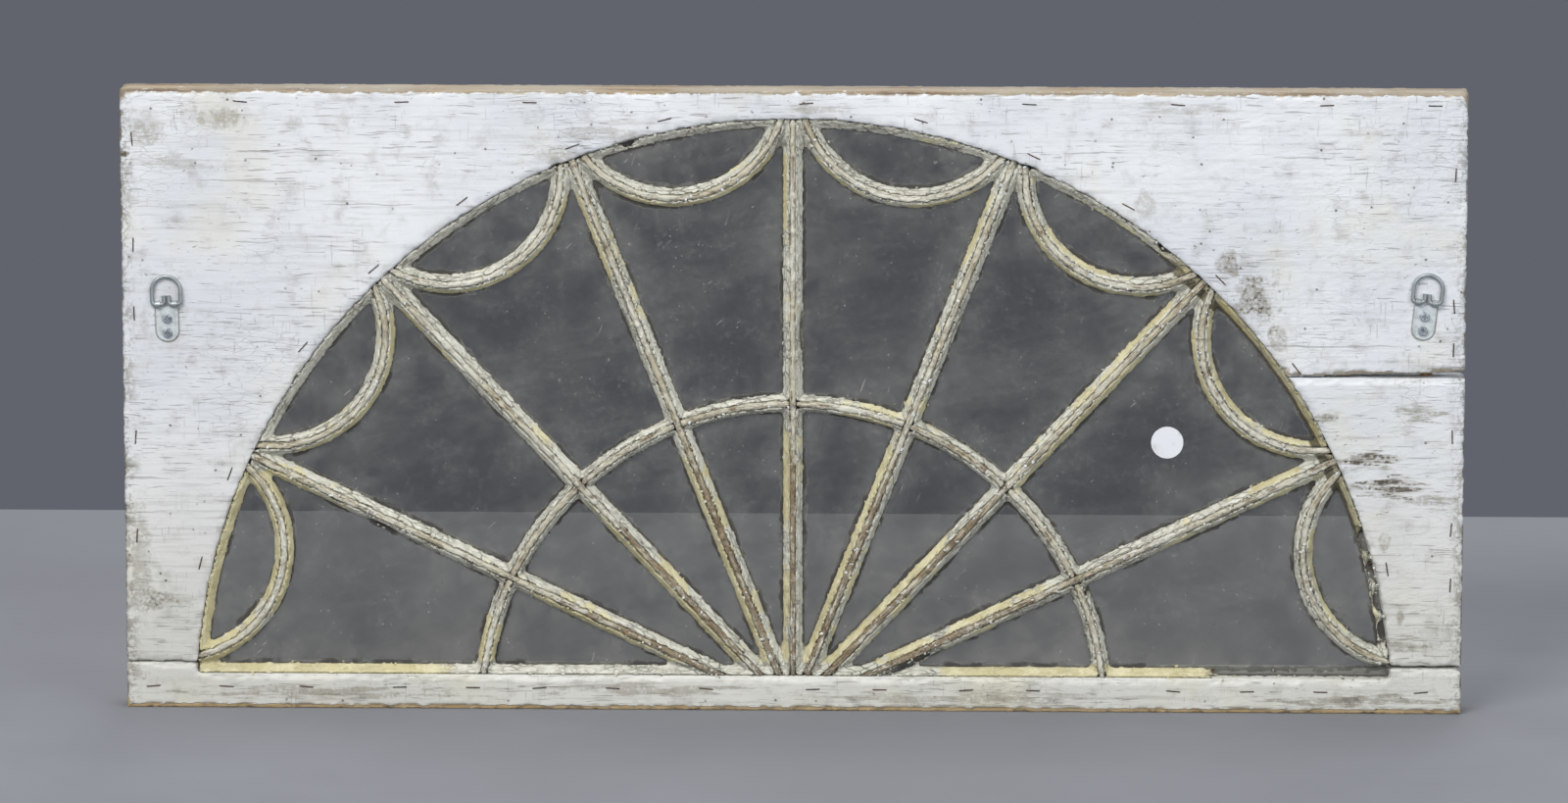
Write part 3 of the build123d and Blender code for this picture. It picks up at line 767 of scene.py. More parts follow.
@dataclass(frozen=True)
class OldGlass(Finish):
    """Thin cylinder glass with a film of dust, specks and scratches, thicker beside the bars;
    painted shadow edges the putty.
    """

    dust: Colour = tint(180, 180, 174)
    seam: Colour = tint(42, 38, 34)
    clear: Colour = (0.66, 0.655, 0.64)
    film: float = 0.012
    rail: float = 0.0295
    arch: float = 0.5135

    def _off_bars(self, x: Sock, z: Sock) -> Sock:
        """Distance from a point to the nearest bar's middle.

        Args:
            x: Place across.
            z: Height.

        Returns:
            The distance in metres.
        """
        angle = z._math("ARCTAN2", z, x)
        reach = (x * x + z * z).power(0.5)
        share = (angle - BASE_ANGLE) / SECTION_ANGLE
        off = abs(share - share._math("ROUND", share)) * SECTION_ANGLE * reach
        ring = (abs(reach - INNER_BAR) + 0.0015).least(abs(reach - self.arch))
        swing = (share - share._math("FLOOR", share) - 0.5) * SECTION_ANGLE
        along = reach * swing._math("COSINE", swing) - SCALLOP_REACH
        aside = reach * swing._math("SINE", swing)
        scallop = (along * along + aside * aside).power(0.5) - SCALLOP_RADIUS
        return off.least(ring).least(abs(scallop)).least(abs(z - self.rail))

    def surface(self, graph: Graph) -> Sock:
        """Clear glass with a dusty film over it and a painted shadow line beside the putty."""
        place = graph.place()
        x, _, z = graph.axes(place)
        broad = graph.noise(place, 9.0, 4.0, 0.6)
        cloud = graph.noise(place, 36.0, 5.0, 0.65)
        off = self._off_bars(x, z)
        near = off.rise(0.040, 0.010) * cloud.rise(0.30, 0.66)
        # Painted shadow: a dark ragged line on the glass along the putty beside every bar, and low
        # on the glass where the rail's putty is gone.
        ragged = off - (graph.noise(place, 120.0, 4.0, 0.65) - 0.5) * 0.008
        seam = ragged.rise(0.0122, 0.0108) * graph.noise(place, 22.0, 3.0, 0.6).rise(0.46, 0.56)
        open_rail = x.rise(0.350, 0.356) * z.rise(0.048, 0.043)
        seam = seam * (1 - open_rail) + open_rail * z.rise(0.0336, 0.0322) * 0.95
        specks = graph.cells(place, 140.0).rise(0.13, 0.05) * cloud.rise(0.42, 0.62)
        dabs = graph.cells(graph.stretched(place, (34.0, 34.0, 48.0), 0.6), 1.0).rise(0.13, 0.04)
        dabs = dabs * graph.noise(place, 5.0, 2.0, 0.5).rise(0.52, 0.66)
        specks = specks + dabs * graph.noise(place, 300.0, 3.0, 0.6).rise(0.45, 0.6)
        steep = graph.grain(place, (30.0, 30.0, 210.0), 2.0, turn=0.7)
        shallow = graph.grain(place, (260.0, 30.0, 26.0), 2.0, turn=-0.35)
        scratches = steep.rise(0.735, 0.76) + shallow.rise(0.745, 0.77)
        marks = (specks * 0.45 + scratches * cloud.rise(0.42, 0.6) * 0.30).least(0.6)
        grit = graph.noise(place, 210.0, 5.0, 0.7).rise(0.46, 0.78) * 0.10
        streaky = graph.grain(place, (6.0, 6.0, 22.0), 5.0, 0.7, turn=0.2)
        soft = self.film + broad.rise(0.40, 0.68) * 0.06 + near * 0.085 + z.rise(0.16, 0.03) * 0.03
        soft = soft + streaky.rise(0.44, 0.70) * 0.06
        cover = (soft + grit * (0.35 + cloud.rise(0.4, 0.7)) + marks).least(0.7)
        ripple = graph.grain(place, (5.0, 5.0, 14.0), 1.0)
        normal = graph.bump(ripple, 0.0012, 0.5)
        clear = graph.node("ShaderNodeBsdfTransparent", {}, {0: (*self.clear, 1.0)}).out(0)
        inputs = {"Color": (1.0, 1.0, 1.0, 1.0), "Roughness": 0.03, "Normal": normal}
        gloss = graph.node("ShaderNodeBsdfGlossy", {}, inputs).out(0)
        sheen = graph.node("ShaderNodeFresnel", {}, {"IOR": 1.45, "Normal": normal}).out(0)
        glass = graph.node("ShaderNodeMixShader", {}, {0: sheen * 0.8, 1: clear, 2: gloss}).out(0)
        rough = 0.75 + (cloud - 0.5) * 0.2
        # The film's colour: dust, with the painted shadow line.
        overlay_tone = graph.blend(seam * 0.9, self.dust, self.seam)
        cover = cover.most(seam * 0.85)
        film = self.principled(graph, Base_Color=overlay_tone, Roughness=rough)
        return graph.node("ShaderNodeMixShader", {}, {0: cover, 1: glass, 2: film}).out(0)


@dataclass(frozen=True)
class PlatedSteel(Finish):
    """Zinc-plated steel with fine scratches and dulled patches, and painted shade on the ring."""

    light: Colour = tint(216, 223, 224)
    dull: Colour = tint(182, 190, 192)
    gloss: float = 0.38
    wire_depth: float = -0.0196
    wire_wear: float = 0.6

    def surface(self, graph: Graph) -> Sock:
        """Bright plate that has dulled in patches."""
        place = graph.place()
        patches = graph.noise(place, 160.0, 4.0, 0.6)
        fine = graph.noise(place, 1400.0, 3.0, 0.6)
        lines = graph.grain(place, (300.0, 300.0, 4200.0), 2.0, turn=0.5)
        colour = graph.blend(patches.rise(0.40, 0.66), self.light, self.dull)
        colour = graph.blend(lines.rise(0.62, 0.74) * 0.35, colour, tint(222, 226, 226))
        _, y, _ = graph.axes(place)
        # Painted shade: the ring, which stands out in front of the plate, is made darker in colour
        # and more metallic.
        shaded_ring = y.rise(self.wire_depth + 0.0006, self.wire_depth - 0.0004) * self.wire_wear
        colour = graph.blend(shaded_ring, colour, tint(112, 118, 120))
        rough = self.gloss + patches.rise(0.4, 0.7) * 0.16 + (fine - 0.5) * 0.1
        normal = graph.bump(patches * 0.6 + fine * 0.4, 0.00012, 0.5)
        metal = 0.25 + shaded_ring * 0.6
        return self.principled(
            graph, Base_Color=colour, Metallic=metal, Roughness=rough, Normal=normal
        )


@dataclass(frozen=True)
class OxidisedWire(Finish):
    """Flat steel wire gone dark, with a little rust."""

    dark: Colour = tint(70, 68, 66)
    rust: Colour = tint(112, 76, 54)

    def surface(self, graph: Graph) -> Sock:
        """Dark oxide with rust patches."""
        place = graph.place()
        patches = graph.noise(place, 420.0, 4.0, 0.65)
        rusty = patches.rise(0.48, 0.62)
        colour = graph.blend(rusty, self.dark, self.rust)
        rough = 0.42 + rusty * 0.4
        metal = 0.75 - rusty * 0.7
        normal = graph.bump(patches, 0.00015, 0.8)
        return self.principled(
            graph, Base_Color=colour, Metallic=metal, Roughness=rough, Normal=normal
        )


@dataclass(frozen=True)
class BarePine(Finish):
    """Turned dowel wood."""

    light: Colour = tint(190, 158, 116)
    dark: Colour = tint(138, 104, 70)

    def surface(self, graph: Graph) -> Sock:
        """Straight grain along the dowel."""
        place = graph.place()
        grain = graph.grain(place, (500.0, 500.0, 20.0), 4.0, 0.6)
        colour = graph.blend(grain.rise(0.35, 0.65), self.dark, self.light)
        normal = graph.bump(grain, 0.0002, 0.8)
        rough = 0.7 + (grain - 0.5) * 0.2
        return self.principled(graph, Base_Color=colour, Roughness=rough, Normal=normal)


@dataclass(frozen=True)
class PlainPaper(Finish):
    """Blank matt paper, a little soiled."""

    white: Colour = tint(226, 228, 232)
    soil: Colour = tint(176, 172, 160)

    def surface(self, graph: Graph) -> Sock:
        """Paper fibres with faint soiling."""
        place = graph.place()
        soft = graph.noise(place, 90.0, 4.0, 0.6)
        fibres = graph.grain(place, (2600.0, 900.0, 900.0), 3.0, turn=0.4)
        colour = graph.blend(soft.rise(0.52, 0.75) * 0.55, self.white, self.soil)
        colour = graph.blend(fibres.rise(0.6, 0.75) * 0.15, colour, self.soil)
        normal = graph.bump(fibres, 0.00006, 0.6)
        rough = 0.72 + (fibres - 0.5) * 0.2
        return self.principled(graph, Base_Color=colour, Roughness=rough, Normal=normal)


@dataclass(frozen=True)
class FloorCloth(Finish):
    """Plain pale studio floor."""

    pale: Colour = tint(128, 130, 136)
    other: Colour = tint(121, 123, 128)

    def surface(self, graph: Graph) -> Sock:
        """An even matt cloth with a faint weave."""
        place = graph.place()
        broad = graph.noise(place, 1.6, 4.0, 0.6)
        weave = graph.grain(place, (220.0, 900.0, 1.0), 2.0)
        colour = graph.blend(broad.rise(0.35, 0.65), self.pale, self.other)
        normal = graph.bump(weave, 0.0003, 0.4)
        rough = 0.85 + (broad - 0.5) * 0.1
        return self.principled(graph, Base_Color=colour, Roughness=rough, Normal=normal)


class Slot(Enum):
    """The record's material slots."""

    FRAME = "frame_paint"
    BAR = "bar_paint"
    GLASS = "glass"
    PUTTY = "putty"
    DOWEL = "dowel_wood"
    IRON = "iron"
    PAPER = "paper"
    ZINC = "zinc"
    SCREW = "screw_steel"


FINISHES: dict[Slot, Finish] = {
    Slot.FRAME: PaintedPine("painted_pine"),
    Slot.BAR: BarPaint("weathered_bar_paint"),
    Slot.GLASS: OldGlass("old_glass"),
    Slot.PUTTY: HardPutty("hard_putty"),
    Slot.DOWEL: BarePine("dowel_pine"),
    Slot.IRON: OxidisedWire("oxidised_wire"),
    Slot.PAPER: PlainPaper("plain_paper"),
    Slot.ZINC: PlatedSteel("zinc_plate"),
    Slot.SCREW: PlatedSteel(
        "screw_plate", tint(168, 176, 182), tint(104, 110, 118), gloss=0.34, wire_wear=0.0
    ),
}


# ------------------------------------------------------------------ mesh helpers
def placed(name: str, data: bpy.types.ID) -> bpy.types.Object:
    """A new object in the scene.

    Args:
        name: Its name.
        data: Its mesh, light or camera.

    Returns:
        The object.
    """
    piece = bpy.data.objects.new(name, data)
    bpy.context.scene.collection.objects.link(piece)
    return piece


def mesh_of(work: bmesh.types.BMesh, name: str) -> bpy.types.Mesh:
    """Ends a bmesh and gives its mesh.

    Args:
        work: The bmesh, which is freed.
        name: The mesh's name.

    Returns:
        The mesh.
    """
    mesh = bpy.data.meshes.new(name)
    work.to_mesh(mesh)
    work.free()
    return mesh


def merged_copy(nodes: Sequence[str], lap: float = 0.0) -> bpy.types.Object:
    """A copy of CAD nodes' meshes in one object, with the loose triangles joined.

    Args:
        nodes: The CAD nodes.
        lap: How far the top of each node after the first is raised into the one above it.

    Returns:
        A new object, in the scene and on no body.
    """
    work = bmesh.new()
    for number, node in enumerate(nodes):
        known = len(work.verts)
        work.from_mesh(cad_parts[node].data)
        work.verts.ensure_lookup_table()
        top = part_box(node)[1][2]
        for vert in work.verts[known:] if number else ():
            if vert.co.z > top - 0.0005:
                vert.co.z += lap
    bmesh.ops.remove_doubles(work, verts=work.verts, dist=2e-6)
    mesh = mesh_of(work, f"{nodes[0]}_work")
    for name in [a.name for a in mesh.attributes if a.name.startswith("custom_normal")]:
        mesh.attributes.remove(mesh.attributes[name])
    return placed(mesh.name, mesh)


def frozen(piece: bpy.types.Object, name: str) -> bpy.types.Object:
    """Applies a piece's modifiers and gives the result as a plain object.

    Args:
        piece: The object, which is removed.
        name: The new object's name.

    Returns:
        The plain object.
    """
    depsgraph = bpy.context.evaluated_depsgraph_get()
    mesh = bpy.data.meshes.new_from_object(piece.evaluated_get(depsgraph), depsgraph=depsgraph)
    mesh.name = name
    result = placed(name, mesh)
    bpy.data.objects.remove(piece, do_unlink=True)
    return result


def settle(piece: bpy.types.Object, body: str, nodes: Iterable[str]) -> None:
    """Hides the CAD nodes that a finished piece stands for and puts the piece on its body.

    Args:
        piece: The finished piece.
        body: The body it moves with.
        nodes: The CAD nodes it stands for.
    """
    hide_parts(*nodes)
    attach(piece, body)
    LOG.info("%s: %d faces on %s", piece.name, len(piece.data.polygons), body)


def dress(node: str, slot: Slot) -> None:
    """Gives a CAD node its finish.

    Args:
        node: The CAD node.
        slot: The finish's slot.
    """
    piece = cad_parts[node]
    material = FINISHES[slot].material()
    if not piece.material_slots:
        piece.data.materials.append(material)
    for place in piece.material_slots:
        place.material = material
    LOG.info("%s: CAD shape, %s", node, material.name)


# ------------------------------------------------------------------ geometry trees
class GeometryTree:
    """A geometry tree with named inputs, run on an object as a modifier."""

    title = "tree"
    inputs: tuple[tuple[str, str, Any], ...] = ()

    def __init__(self) -> None:
        """Builds the tree once."""
        self.tree = bpy.data.node_groups.new(self.title, "GeometryNodeTree")
        face = self.tree.interface
        face.new_socket("Geometry", in_out="OUTPUT", socket_type="NodeSocketGeometry")
        face.new_socket("Geometry", in_out="INPUT", socket_type="NodeSocketGeometry")
        for name, kind, value in self.inputs:
            socket = face.new_socket(name, in_out="INPUT", socket_type=kind)
            if value is not None:
                socket.default_value = value
        self.graph = Graph(self.tree)
        self.given = self.graph.node("NodeGroupInput")
        last = self.write(self.graph, self.given)
        real = self.graph.node("GeometryNodeRealizeInstances", {}, {"Geometry": last}).out(0)
        ends = {"Geometry": real, "Material": self.given.out("Material")}
        painted = self.graph.node("GeometryNodeSetMaterial", {}, ends).out(0)
        self.graph.node("NodeGroupOutput", {}, {0: painted})

    def write(self, graph: Graph, given: Made) -> Sock:
        """Adds the tree's own nodes and returns the geometry."""
        raise NotImplementedError

    def apply_to(self, piece: bpy.types.Object, **values: Any) -> None:
        """Adds the tree to an object.

        Args:
            piece: The object.
            values: The tree's inputs, with underscores for spaces.
        """
        modifier = piece.modifiers.new(self.title, "NODES")
        modifier.node_group = self.tree
        wanted = {key.replace("_", " "): value for key, value in values.items()}
        for item in self.tree.interface.items_tree:
            if item.item_type == "SOCKET" and item.in_out == "INPUT" and item.name in wanted:
                modifier[item.identifier] = wanted[item.name]


class WornSkinTree(GeometryTree):
    """Roughens a skin with lumps, softens and chips its corners, and stores where it did."""

    title = "worn_skin"
    inputs = (
        ("Material", "NodeSocketMaterial", None),
        ("Seed", "NodeSocketFloat", 0.0),
        ("Lump size", "NodeSocketFloat", 60.0),
        ("Lump depth", "NodeSocketFloat", 0.0004),
        ("Pit size", "NodeSocketFloat", 220.0),
        ("Pit depth", "NodeSocketFloat", 0.0002),
        ("Chip size", "NodeSocketFloat", 90.0),
        ("Chip depth", "NodeSocketFloat", 0.0010),
        ("Chip share", "NodeSocketFloat", 0.5),
        ("Voxel", "NodeSocketFloat", 0.002),
    )

    def _lumps(self, graph: Graph, given: Made, place: Sock, size: str, shift: float) -> Sock:
        """Noise of 0 to 1 at one of the tree's sizes."""
        inputs = {
            "Vector": place,
            "W": given.out("Seed") + shift,
            "Scale": given.out(size),
            "Detail": 3.0,
            "Roughness": 0.55,
        }
        return graph.node("ShaderNodeTexNoise", {"noise_dimensions": "4D"}, inputs).out(0)

    def write(self, graph: Graph, given: Made) -> Sock:
        """Displaces the skin along its normals.

        Args:
            graph: The tree's graph.
            given: Its input node.

        Returns:
            The displaced geometry.
        """
        place = graph.node("GeometryNodeInputPosition").out(0)
        normal = graph.node("GeometryNodeInputNormal").out(0)
        inputs = {"Value": place, "Iterations": 4}
        blur = graph.node("GeometryNodeBlurAttribute", {"data_type": "FLOAT_VECTOR"}, inputs).out(0)
        gap = graph.vector_math("SUBTRACT", {0: place, 1: blur}).out(0)
        stand = graph.vector_math("DOT_PRODUCT", {0: gap, 1: normal}).out("Value")
        edge = (stand / given.out("Voxel") * 2.2).least(1.0).most(0.0)
        lumps = self._lumps(graph, given, place, "Lump size", 0.0)
        pits = self._lumps(graph, given, place, "Pit size", 7.3)
        chips = self._lumps(graph, given, place, "Chip size", 19.1)
        chipped = (chips - 1.0 + given.out("Chip share")).rise(-0.06, 0.06) * edge.rise(0.05, 0.5)
        lift = (lumps - 0.5) * 2.0 * given.out("Lump depth")
        lift = lift + (pits - 0.5) * 2.0 * given.out("Pit depth")
        lift = lift - chipped * given.out("Chip depth")
        move = graph.vector_math("SCALE", {0: normal, "Scale": lift}).out(0)
        kept = given.out("Geometry")
        settings = {"data_type": "FLOAT", "domain": "POINT"}
        for name, value in ((EDGE, edge), (LOSS, chipped)):
            inputs = {"Geometry": kept, "Name": name, "Value": value}
            kept = graph.node("GeometryNodeStoreNamedAttribute", settings, inputs).out(0)
        moved = graph.node("GeometryNodeSetPosition", {}, {"Geometry": kept, "Offset": move}).out(0)
        return graph.node("GeometryNodeSetShadeSmooth", {}, {"Geometry": moved}).out(0)


class StapleTree(GeometryTree):
    """Sets a bent wire staple on every point of a cloud, turned by the point's own angle."""

    title = "staple_row"
    inputs = (
        ("Material", "NodeSocketMaterial", None),
        ("Wire", "NodeSocketFloat", 0.0007),
        ("Staple", "NodeSocketObject", None),
    )

    def write(self, graph: Graph, given: Made) -> Sock:
        """Puts the staples on the points.

        Args:
            graph: The tree's graph.
            given: Its input node.

        Returns:
            The staples as instances.
        """
        turn = graph.node(
            "GeometryNodeInputNamedAttribute", {"data_type": "FLOAT"}, {"Name": "turn"}
        ).out("Attribute")
        angles = graph.node("ShaderNodeCombineXYZ", {}, {1: turn * -1.0}).out(0)
        inputs = {"Object": given.out("Staple")}
        info = graph.node("GeometryNodeObjectInfo", {"transform_space": "ORIGINAL"}, inputs)
        curve = graph.node("GeometryNodeMeshToCurve", {}, {"Mesh": info.out("Geometry")}).out(0)
        inputs = {"Resolution": 6, "Radius": given.out("Wire") * 0.5}
        ring = graph.node("GeometryNodeCurvePrimitiveCircle", {"mode": "RADIUS"}, inputs).out(0)
        inputs = {"Curve": curve, "Profile Curve": ring, "Fill Caps": True}
        wire = graph.node("GeometryNodeCurveToMesh", {}, inputs).out(0)
        inputs = {"Points": given.out("Geometry"), "Instance": wire, "Rotation": angles}
        return graph.node("GeometryNodeInstanceOnPoints", {}, inputs).out(0)


class FlakeTree(GeometryTree):
    """Strews small broken chips over the weathered front of a mesh."""

    title = "flakes"
    inputs = (
        ("Material", "NodeSocketMaterial", None),
        ("Density", "NodeSocketFloat", 14000.0),
        ("Size", "NodeSocketFloat", 0.0015),
        ("Front", "NodeSocketFloat", -0.0075),
        ("Seed", "NodeSocketInt", 5),
    )

    def _random(self, graph: Graph, given: Made, low: Sequence, high: Sequence) -> Sock:
        """A random vector for each point."""
        inputs = {0: tuple(low), 1: tuple(high), "Seed": given.out("Seed")}
        return graph.node("FunctionNodeRandomValue", {"data_type": "FLOAT_VECTOR"}, inputs).out(0)

    def write(self, graph: Graph, given: Made) -> Sock:
        """Puts the chips on the faces that look out.

        Args:
            graph: The tree's graph.
            given: Its input node.

        Returns:
            The chips as instances.
        """
        place = graph.node("GeometryNodeInputPosition").out(0)
        normal = graph.node("GeometryNodeInputNormal").out(0)
        _, depth, _ = graph.axes(place)
        _, facing, _ = graph.axes(normal)
        worn = graph.noise(place, 26.0, 3.0, 0.6).rise(0.40, 0.62)
        out = (depth - given.out("Front")).rise(0.0004, 0.0) * facing.rise(-0.2, -0.5)
        inputs = {
            "Mesh": given.out("Geometry"),
            "Density": given.out("Density") * worn * out,
            "Seed": given.out("Seed"),
        }
        spread = "GeometryNodeDistributePointsOnFaces"
        points = graph.node(spread, {"distribute_method": "RANDOM"}, inputs)
        inputs = {"Radius": given.out("Size"), "Subdivisions": 1}
        chip = graph.node("GeometryNodeMeshIcoSphere", {}, inputs).out(0)
        inputs = {
            "Points": points.out("Points"),
            "Instance": chip,
            "Rotation": points.out("Rotation"),
            "Scale": self._random(graph, given, (0.5, 0.4, 0.20), (1.5, 1.0, 0.42)),
        }
        laid = graph.node("GeometryNodeInstanceOnPoints", {}, inputs).out(0)
        inputs = {
            "Instances": laid,
            "Rotation": self._random(graph, given, (-0.3, -0.3, 0.0), (0.3, 0.3, 6.28)),
            "Local Space": True,
        }
        return graph.node("GeometryNodeRotateInstances", {}, inputs).out(0)


# ------------------------------------------------------------------ lines of the bars
@dataclass(frozen=True)
class BarLines:
    """Centre lines of every bar, for patterns that run along them."""

    arch: float = 0.513
    rail: float = 0.0348
    apart: float = 1.7  # shift of the pattern from one line to the next

    def _circle(self, points: np.ndarray, centre: Sequence[float], radius: float) -> np.ndarray:
        """Place along and across a circle for each point."""
        off = points - np.asarray(centre)
        angle = np.arctan2(off[:, 1], off[:, 0])
        return np.stack([angle * radius, np.hypot(off[:, 0], off[:, 1]) - radius], axis=1)

    def mark(self, piece: bpy.types.Object) -> None:
        """Stores each point's place along and across its nearest bar.

        Args:
            piece: The piece.
        """
        mesh = piece.data
        flat = np.empty(len(mesh.vertices) * 3)
        mesh.vertices.foreach_get("co", flat)
        places = flat.reshape(-1, 3)
        points = places[:, [0, 2]]
        runs = []
        for number in range(1, SECTIONS):
            turn = BASE_ANGLE + number * SECTION_ANGLE
            ray = np.array([math.cos(turn), math.sin(turn)])
            side = np.array([-math.sin(turn), math.cos(turn)])
            runs.append(np.stack([points @ ray, points @ side], axis=1))
        for number in range(SECTIONS):
            turn = BASE_ANGLE + (number + 0.5) * SECTION_ANGLE
            centre = (SCALLOP_REACH * math.cos(turn), SCALLOP_REACH * math.sin(turn))
            runs.append(self._circle(points, centre, SCALLOP_RADIUS))
        runs += [self._circle(points, (0.0, 0.0), radius) for radius in (INNER_BAR, self.arch)]
        runs.append(np.stack([points[:, 0], points[:, 1] - self.rail], axis=1))
        stack = np.stack(runs)
        nearest = np.abs(stack[:, :, 1]).argmin(axis=0)
        chosen = stack[nearest, np.arange(len(points))]
        shifted = chosen + nearest[:, None] * np.array([self.apart, 0.0])
        run = np.concatenate([shifted, places[:, 1:2]], axis=1)
        mesh.attributes.new(RUN, "FLOAT_VECTOR", "POINT").data.foreach_set("vector", run.ravel())


# ------------------------------------------------------------------ sub-assemblies
@dataclass(frozen=True)
class Wear:
    """How finely a skin is remade, and how it is worn."""

    voxel: float
    lump_size: float = 55.0
    lump_depth: float = 0.00030
    pit_size: float = 210.0
    pit_depth: float = 0.00015
    chip_size: float = 95.0
    chip_depth: float = 0.0014
    chip_share: float = 0.48

    def put_on(
        self, piece: bpy.types.Object, tree: WornSkinTree, material: bpy.types.Material, seed: float
    ) -> None:
        """Remakes a piece's skin and wears it.

        Args:
            piece: The piece.
            tree: The tree that wears the skin.
            material: The piece's material.
            seed: Sets the piece's own pattern.
        """
        skin = piece.modifiers.new("skin", "REMESH")
        skin.mode = "VOXEL"
        skin.voxel_size = self.voxel
        values = {item.name.capitalize(): getattr(self, item.name) for item in fields(self)}
        tree.apply_to(piece, Material=material, Seed=seed, **values)


@dataclass
class WornWood:
    """Wooden nodes remade with soft, chipped and lumpy skins."""

    groups: dict[str, tuple[str, ...]]
    slot: Slot
    wear: Wear
    lap: float = 0.0045
    seed_step: float = 1.7

    def build(self, tree: WornSkinTree, lines: BarLines) -> None:
        """Makes one worn piece for each group of nodes.

        Args:
            tree: The tree that wears the skin.
            lines: The lines that patterns follow.
        """
        material = FINISHES[self.slot].material()
        for number, (name, nodes) in enumerate(self.groups.items()):
            piece = merged_copy(nodes, self.lap)
            self.wear.put_on(piece, tree, material, number * self.seed_step)
            made = frozen(piece, name)
            if self.slot is Slot.BAR:
                lines.mark(made)
            settle(made, SASH, nodes)


@dataclass(frozen=True)
class Loss:
    """A place where the putty has fallen out."""

    x: float
    z: float
    turn: float
    half_length: float
    half_width: float


def polar_loss(angle: float, reach: float, half_length: float, half_width: float) -> Loss:
    """A loss that lies along a circle about the fan's centre.

    Args:
        angle: Direction from +X in degrees.
        reach: Distance from the fan's centre.
        half_length: Half its length along the circle.
        half_width: Half its width.

    Returns:
        The loss.
    """
    turn = math.radians(angle)
    return Loss(reach * math.cos(turn), reach * math.sin(turn), angle + 90, half_length, half_width)


ARCH_LOSSES = (
    *(polar_loss(angle, 0.5105, 0.0150, 0.0062) for angle in (8, 11, 14, 17)),
    polar_loss(106, 0.511, 0.010, 0.004),
    polar_loss(52, 0.511, 0.008, 0.0035),
)
RAIL_LOSSES = tuple(Loss(0.372 + 0.013 * n, 0.0355, 0.0, 0.020, 0.0085) for n in range(12))
PUTTY_LOSSES = {
    "crescent_putty": ARCH_LOSSES,
    "middle_putty": (
        Loss(-0.352, 0.157, -25.4, 0.026, 0.0040),
        Loss(-0.165, 0.190, -46.9, 0.020, 0.0035),
        Loss(0.262, 0.110, 25.4, 0.022, 0.0038),
        Loss(0.008, 0.330, 90.0, 0.030, 0.0032),
        *RAIL_LOSSES,
    ),
    "hub_putty": (
        Loss(0.118, 0.128, 46.9, 0.030, 0.0036),
        Loss(0.100, 0.041, 25.4, 0.034, 0.0040),
        Loss(0.166, 0.083, 25.4, 0.016, 0.0036),
        Loss(-0.008, 0.110, 90.0, 0.020, 0.0030),
    ),
}


@dataclass
class PuttyBeads:
    """The putty, lumpy and chipped, with some of it gone."""

    wear: Wear = Wear(0.0014, 95.0, 0.0011, 330.0, 0.0005, 130.0, 0.0021, 0.56)
    first_seed: float = 31.0
    middle_depth: float = -0.0118
    half_depth: float = 0.0062
    losses: dict[str, tuple[Loss, ...]] = field(default_factory=lambda: dict(PUTTY_LOSSES))

    def _cutter(self, losses: Sequence[Loss]) -> bpy.types.Object:
        """A closed mesh of blobs where putty is to go.

        Args:
            losses: The places.

        Returns:
            The cutter, in the scene.
        """
        work = bmesh.new()
        for loss in losses:
            place = Matrix.Translation((loss.x, self.middle_depth, loss.z))
            turned = Matrix.Rotation(-math.radians(loss.turn), 4, "Y")
            size = Matrix.Diagonal((loss.half_length, self.half_depth, loss.half_width, 1.0))
            bmesh.ops.create_icosphere(
                work, subdivisions=2, radius=1.0, matrix=place @ turned @ size
            )
        return placed("putty_loss", mesh_of(work, "putty_loss"))

    def build(self, tree: WornSkinTree, lines: BarLines) -> None:
        """Makes one worn piece for each group of beads.

        Args:
            tree: The tree that wears the skin.
            lines: The lines that patterns follow.
        """
        material = FINISHES[Slot.PUTTY].material()
        for number, (node, losses) in enumerate(self.losses.items()):
            piece = merged_copy([node])
            cutter = self._cutter(losses)
            cut = piece.modifiers.new("loss", "BOOLEAN")
            cut.operation = "DIFFERENCE"
            cut.solver = "EXACT"
            cut.use_self = True
            cut.object = cutter
            self.wear.put_on(piece, tree, material, self.first_seed + number)
            made = frozen(piece, f"{node}_worn")
            bpy.data.objects.remove(cutter, do_unlink=True)
            lines.mark(made)
            settle(made, SASH, [node])


@dataclass
class Flakes:
    """Chips of paint and putty that cling to the bars and beads."""

    sets: dict[Slot, tuple[str, ...]]

    def build(self, tree: FlakeTree, lines: BarLines) -> None:
        """Makes one piece of chips for each finish.

        Args:
            tree: The tree that strews them.
            lines: The lines that patterns follow.
        """
        for number, (slot, nodes) in enumerate(self.sets.items()):
            piece = merged_copy(nodes)
            tree.apply_to(piece, Material=FINISHES[slot].material(), Seed=11 + number)
            made = frozen(piece, f"{slot.value}_flakes")
            lines.mark(made)
            settle(made, SASH, ())


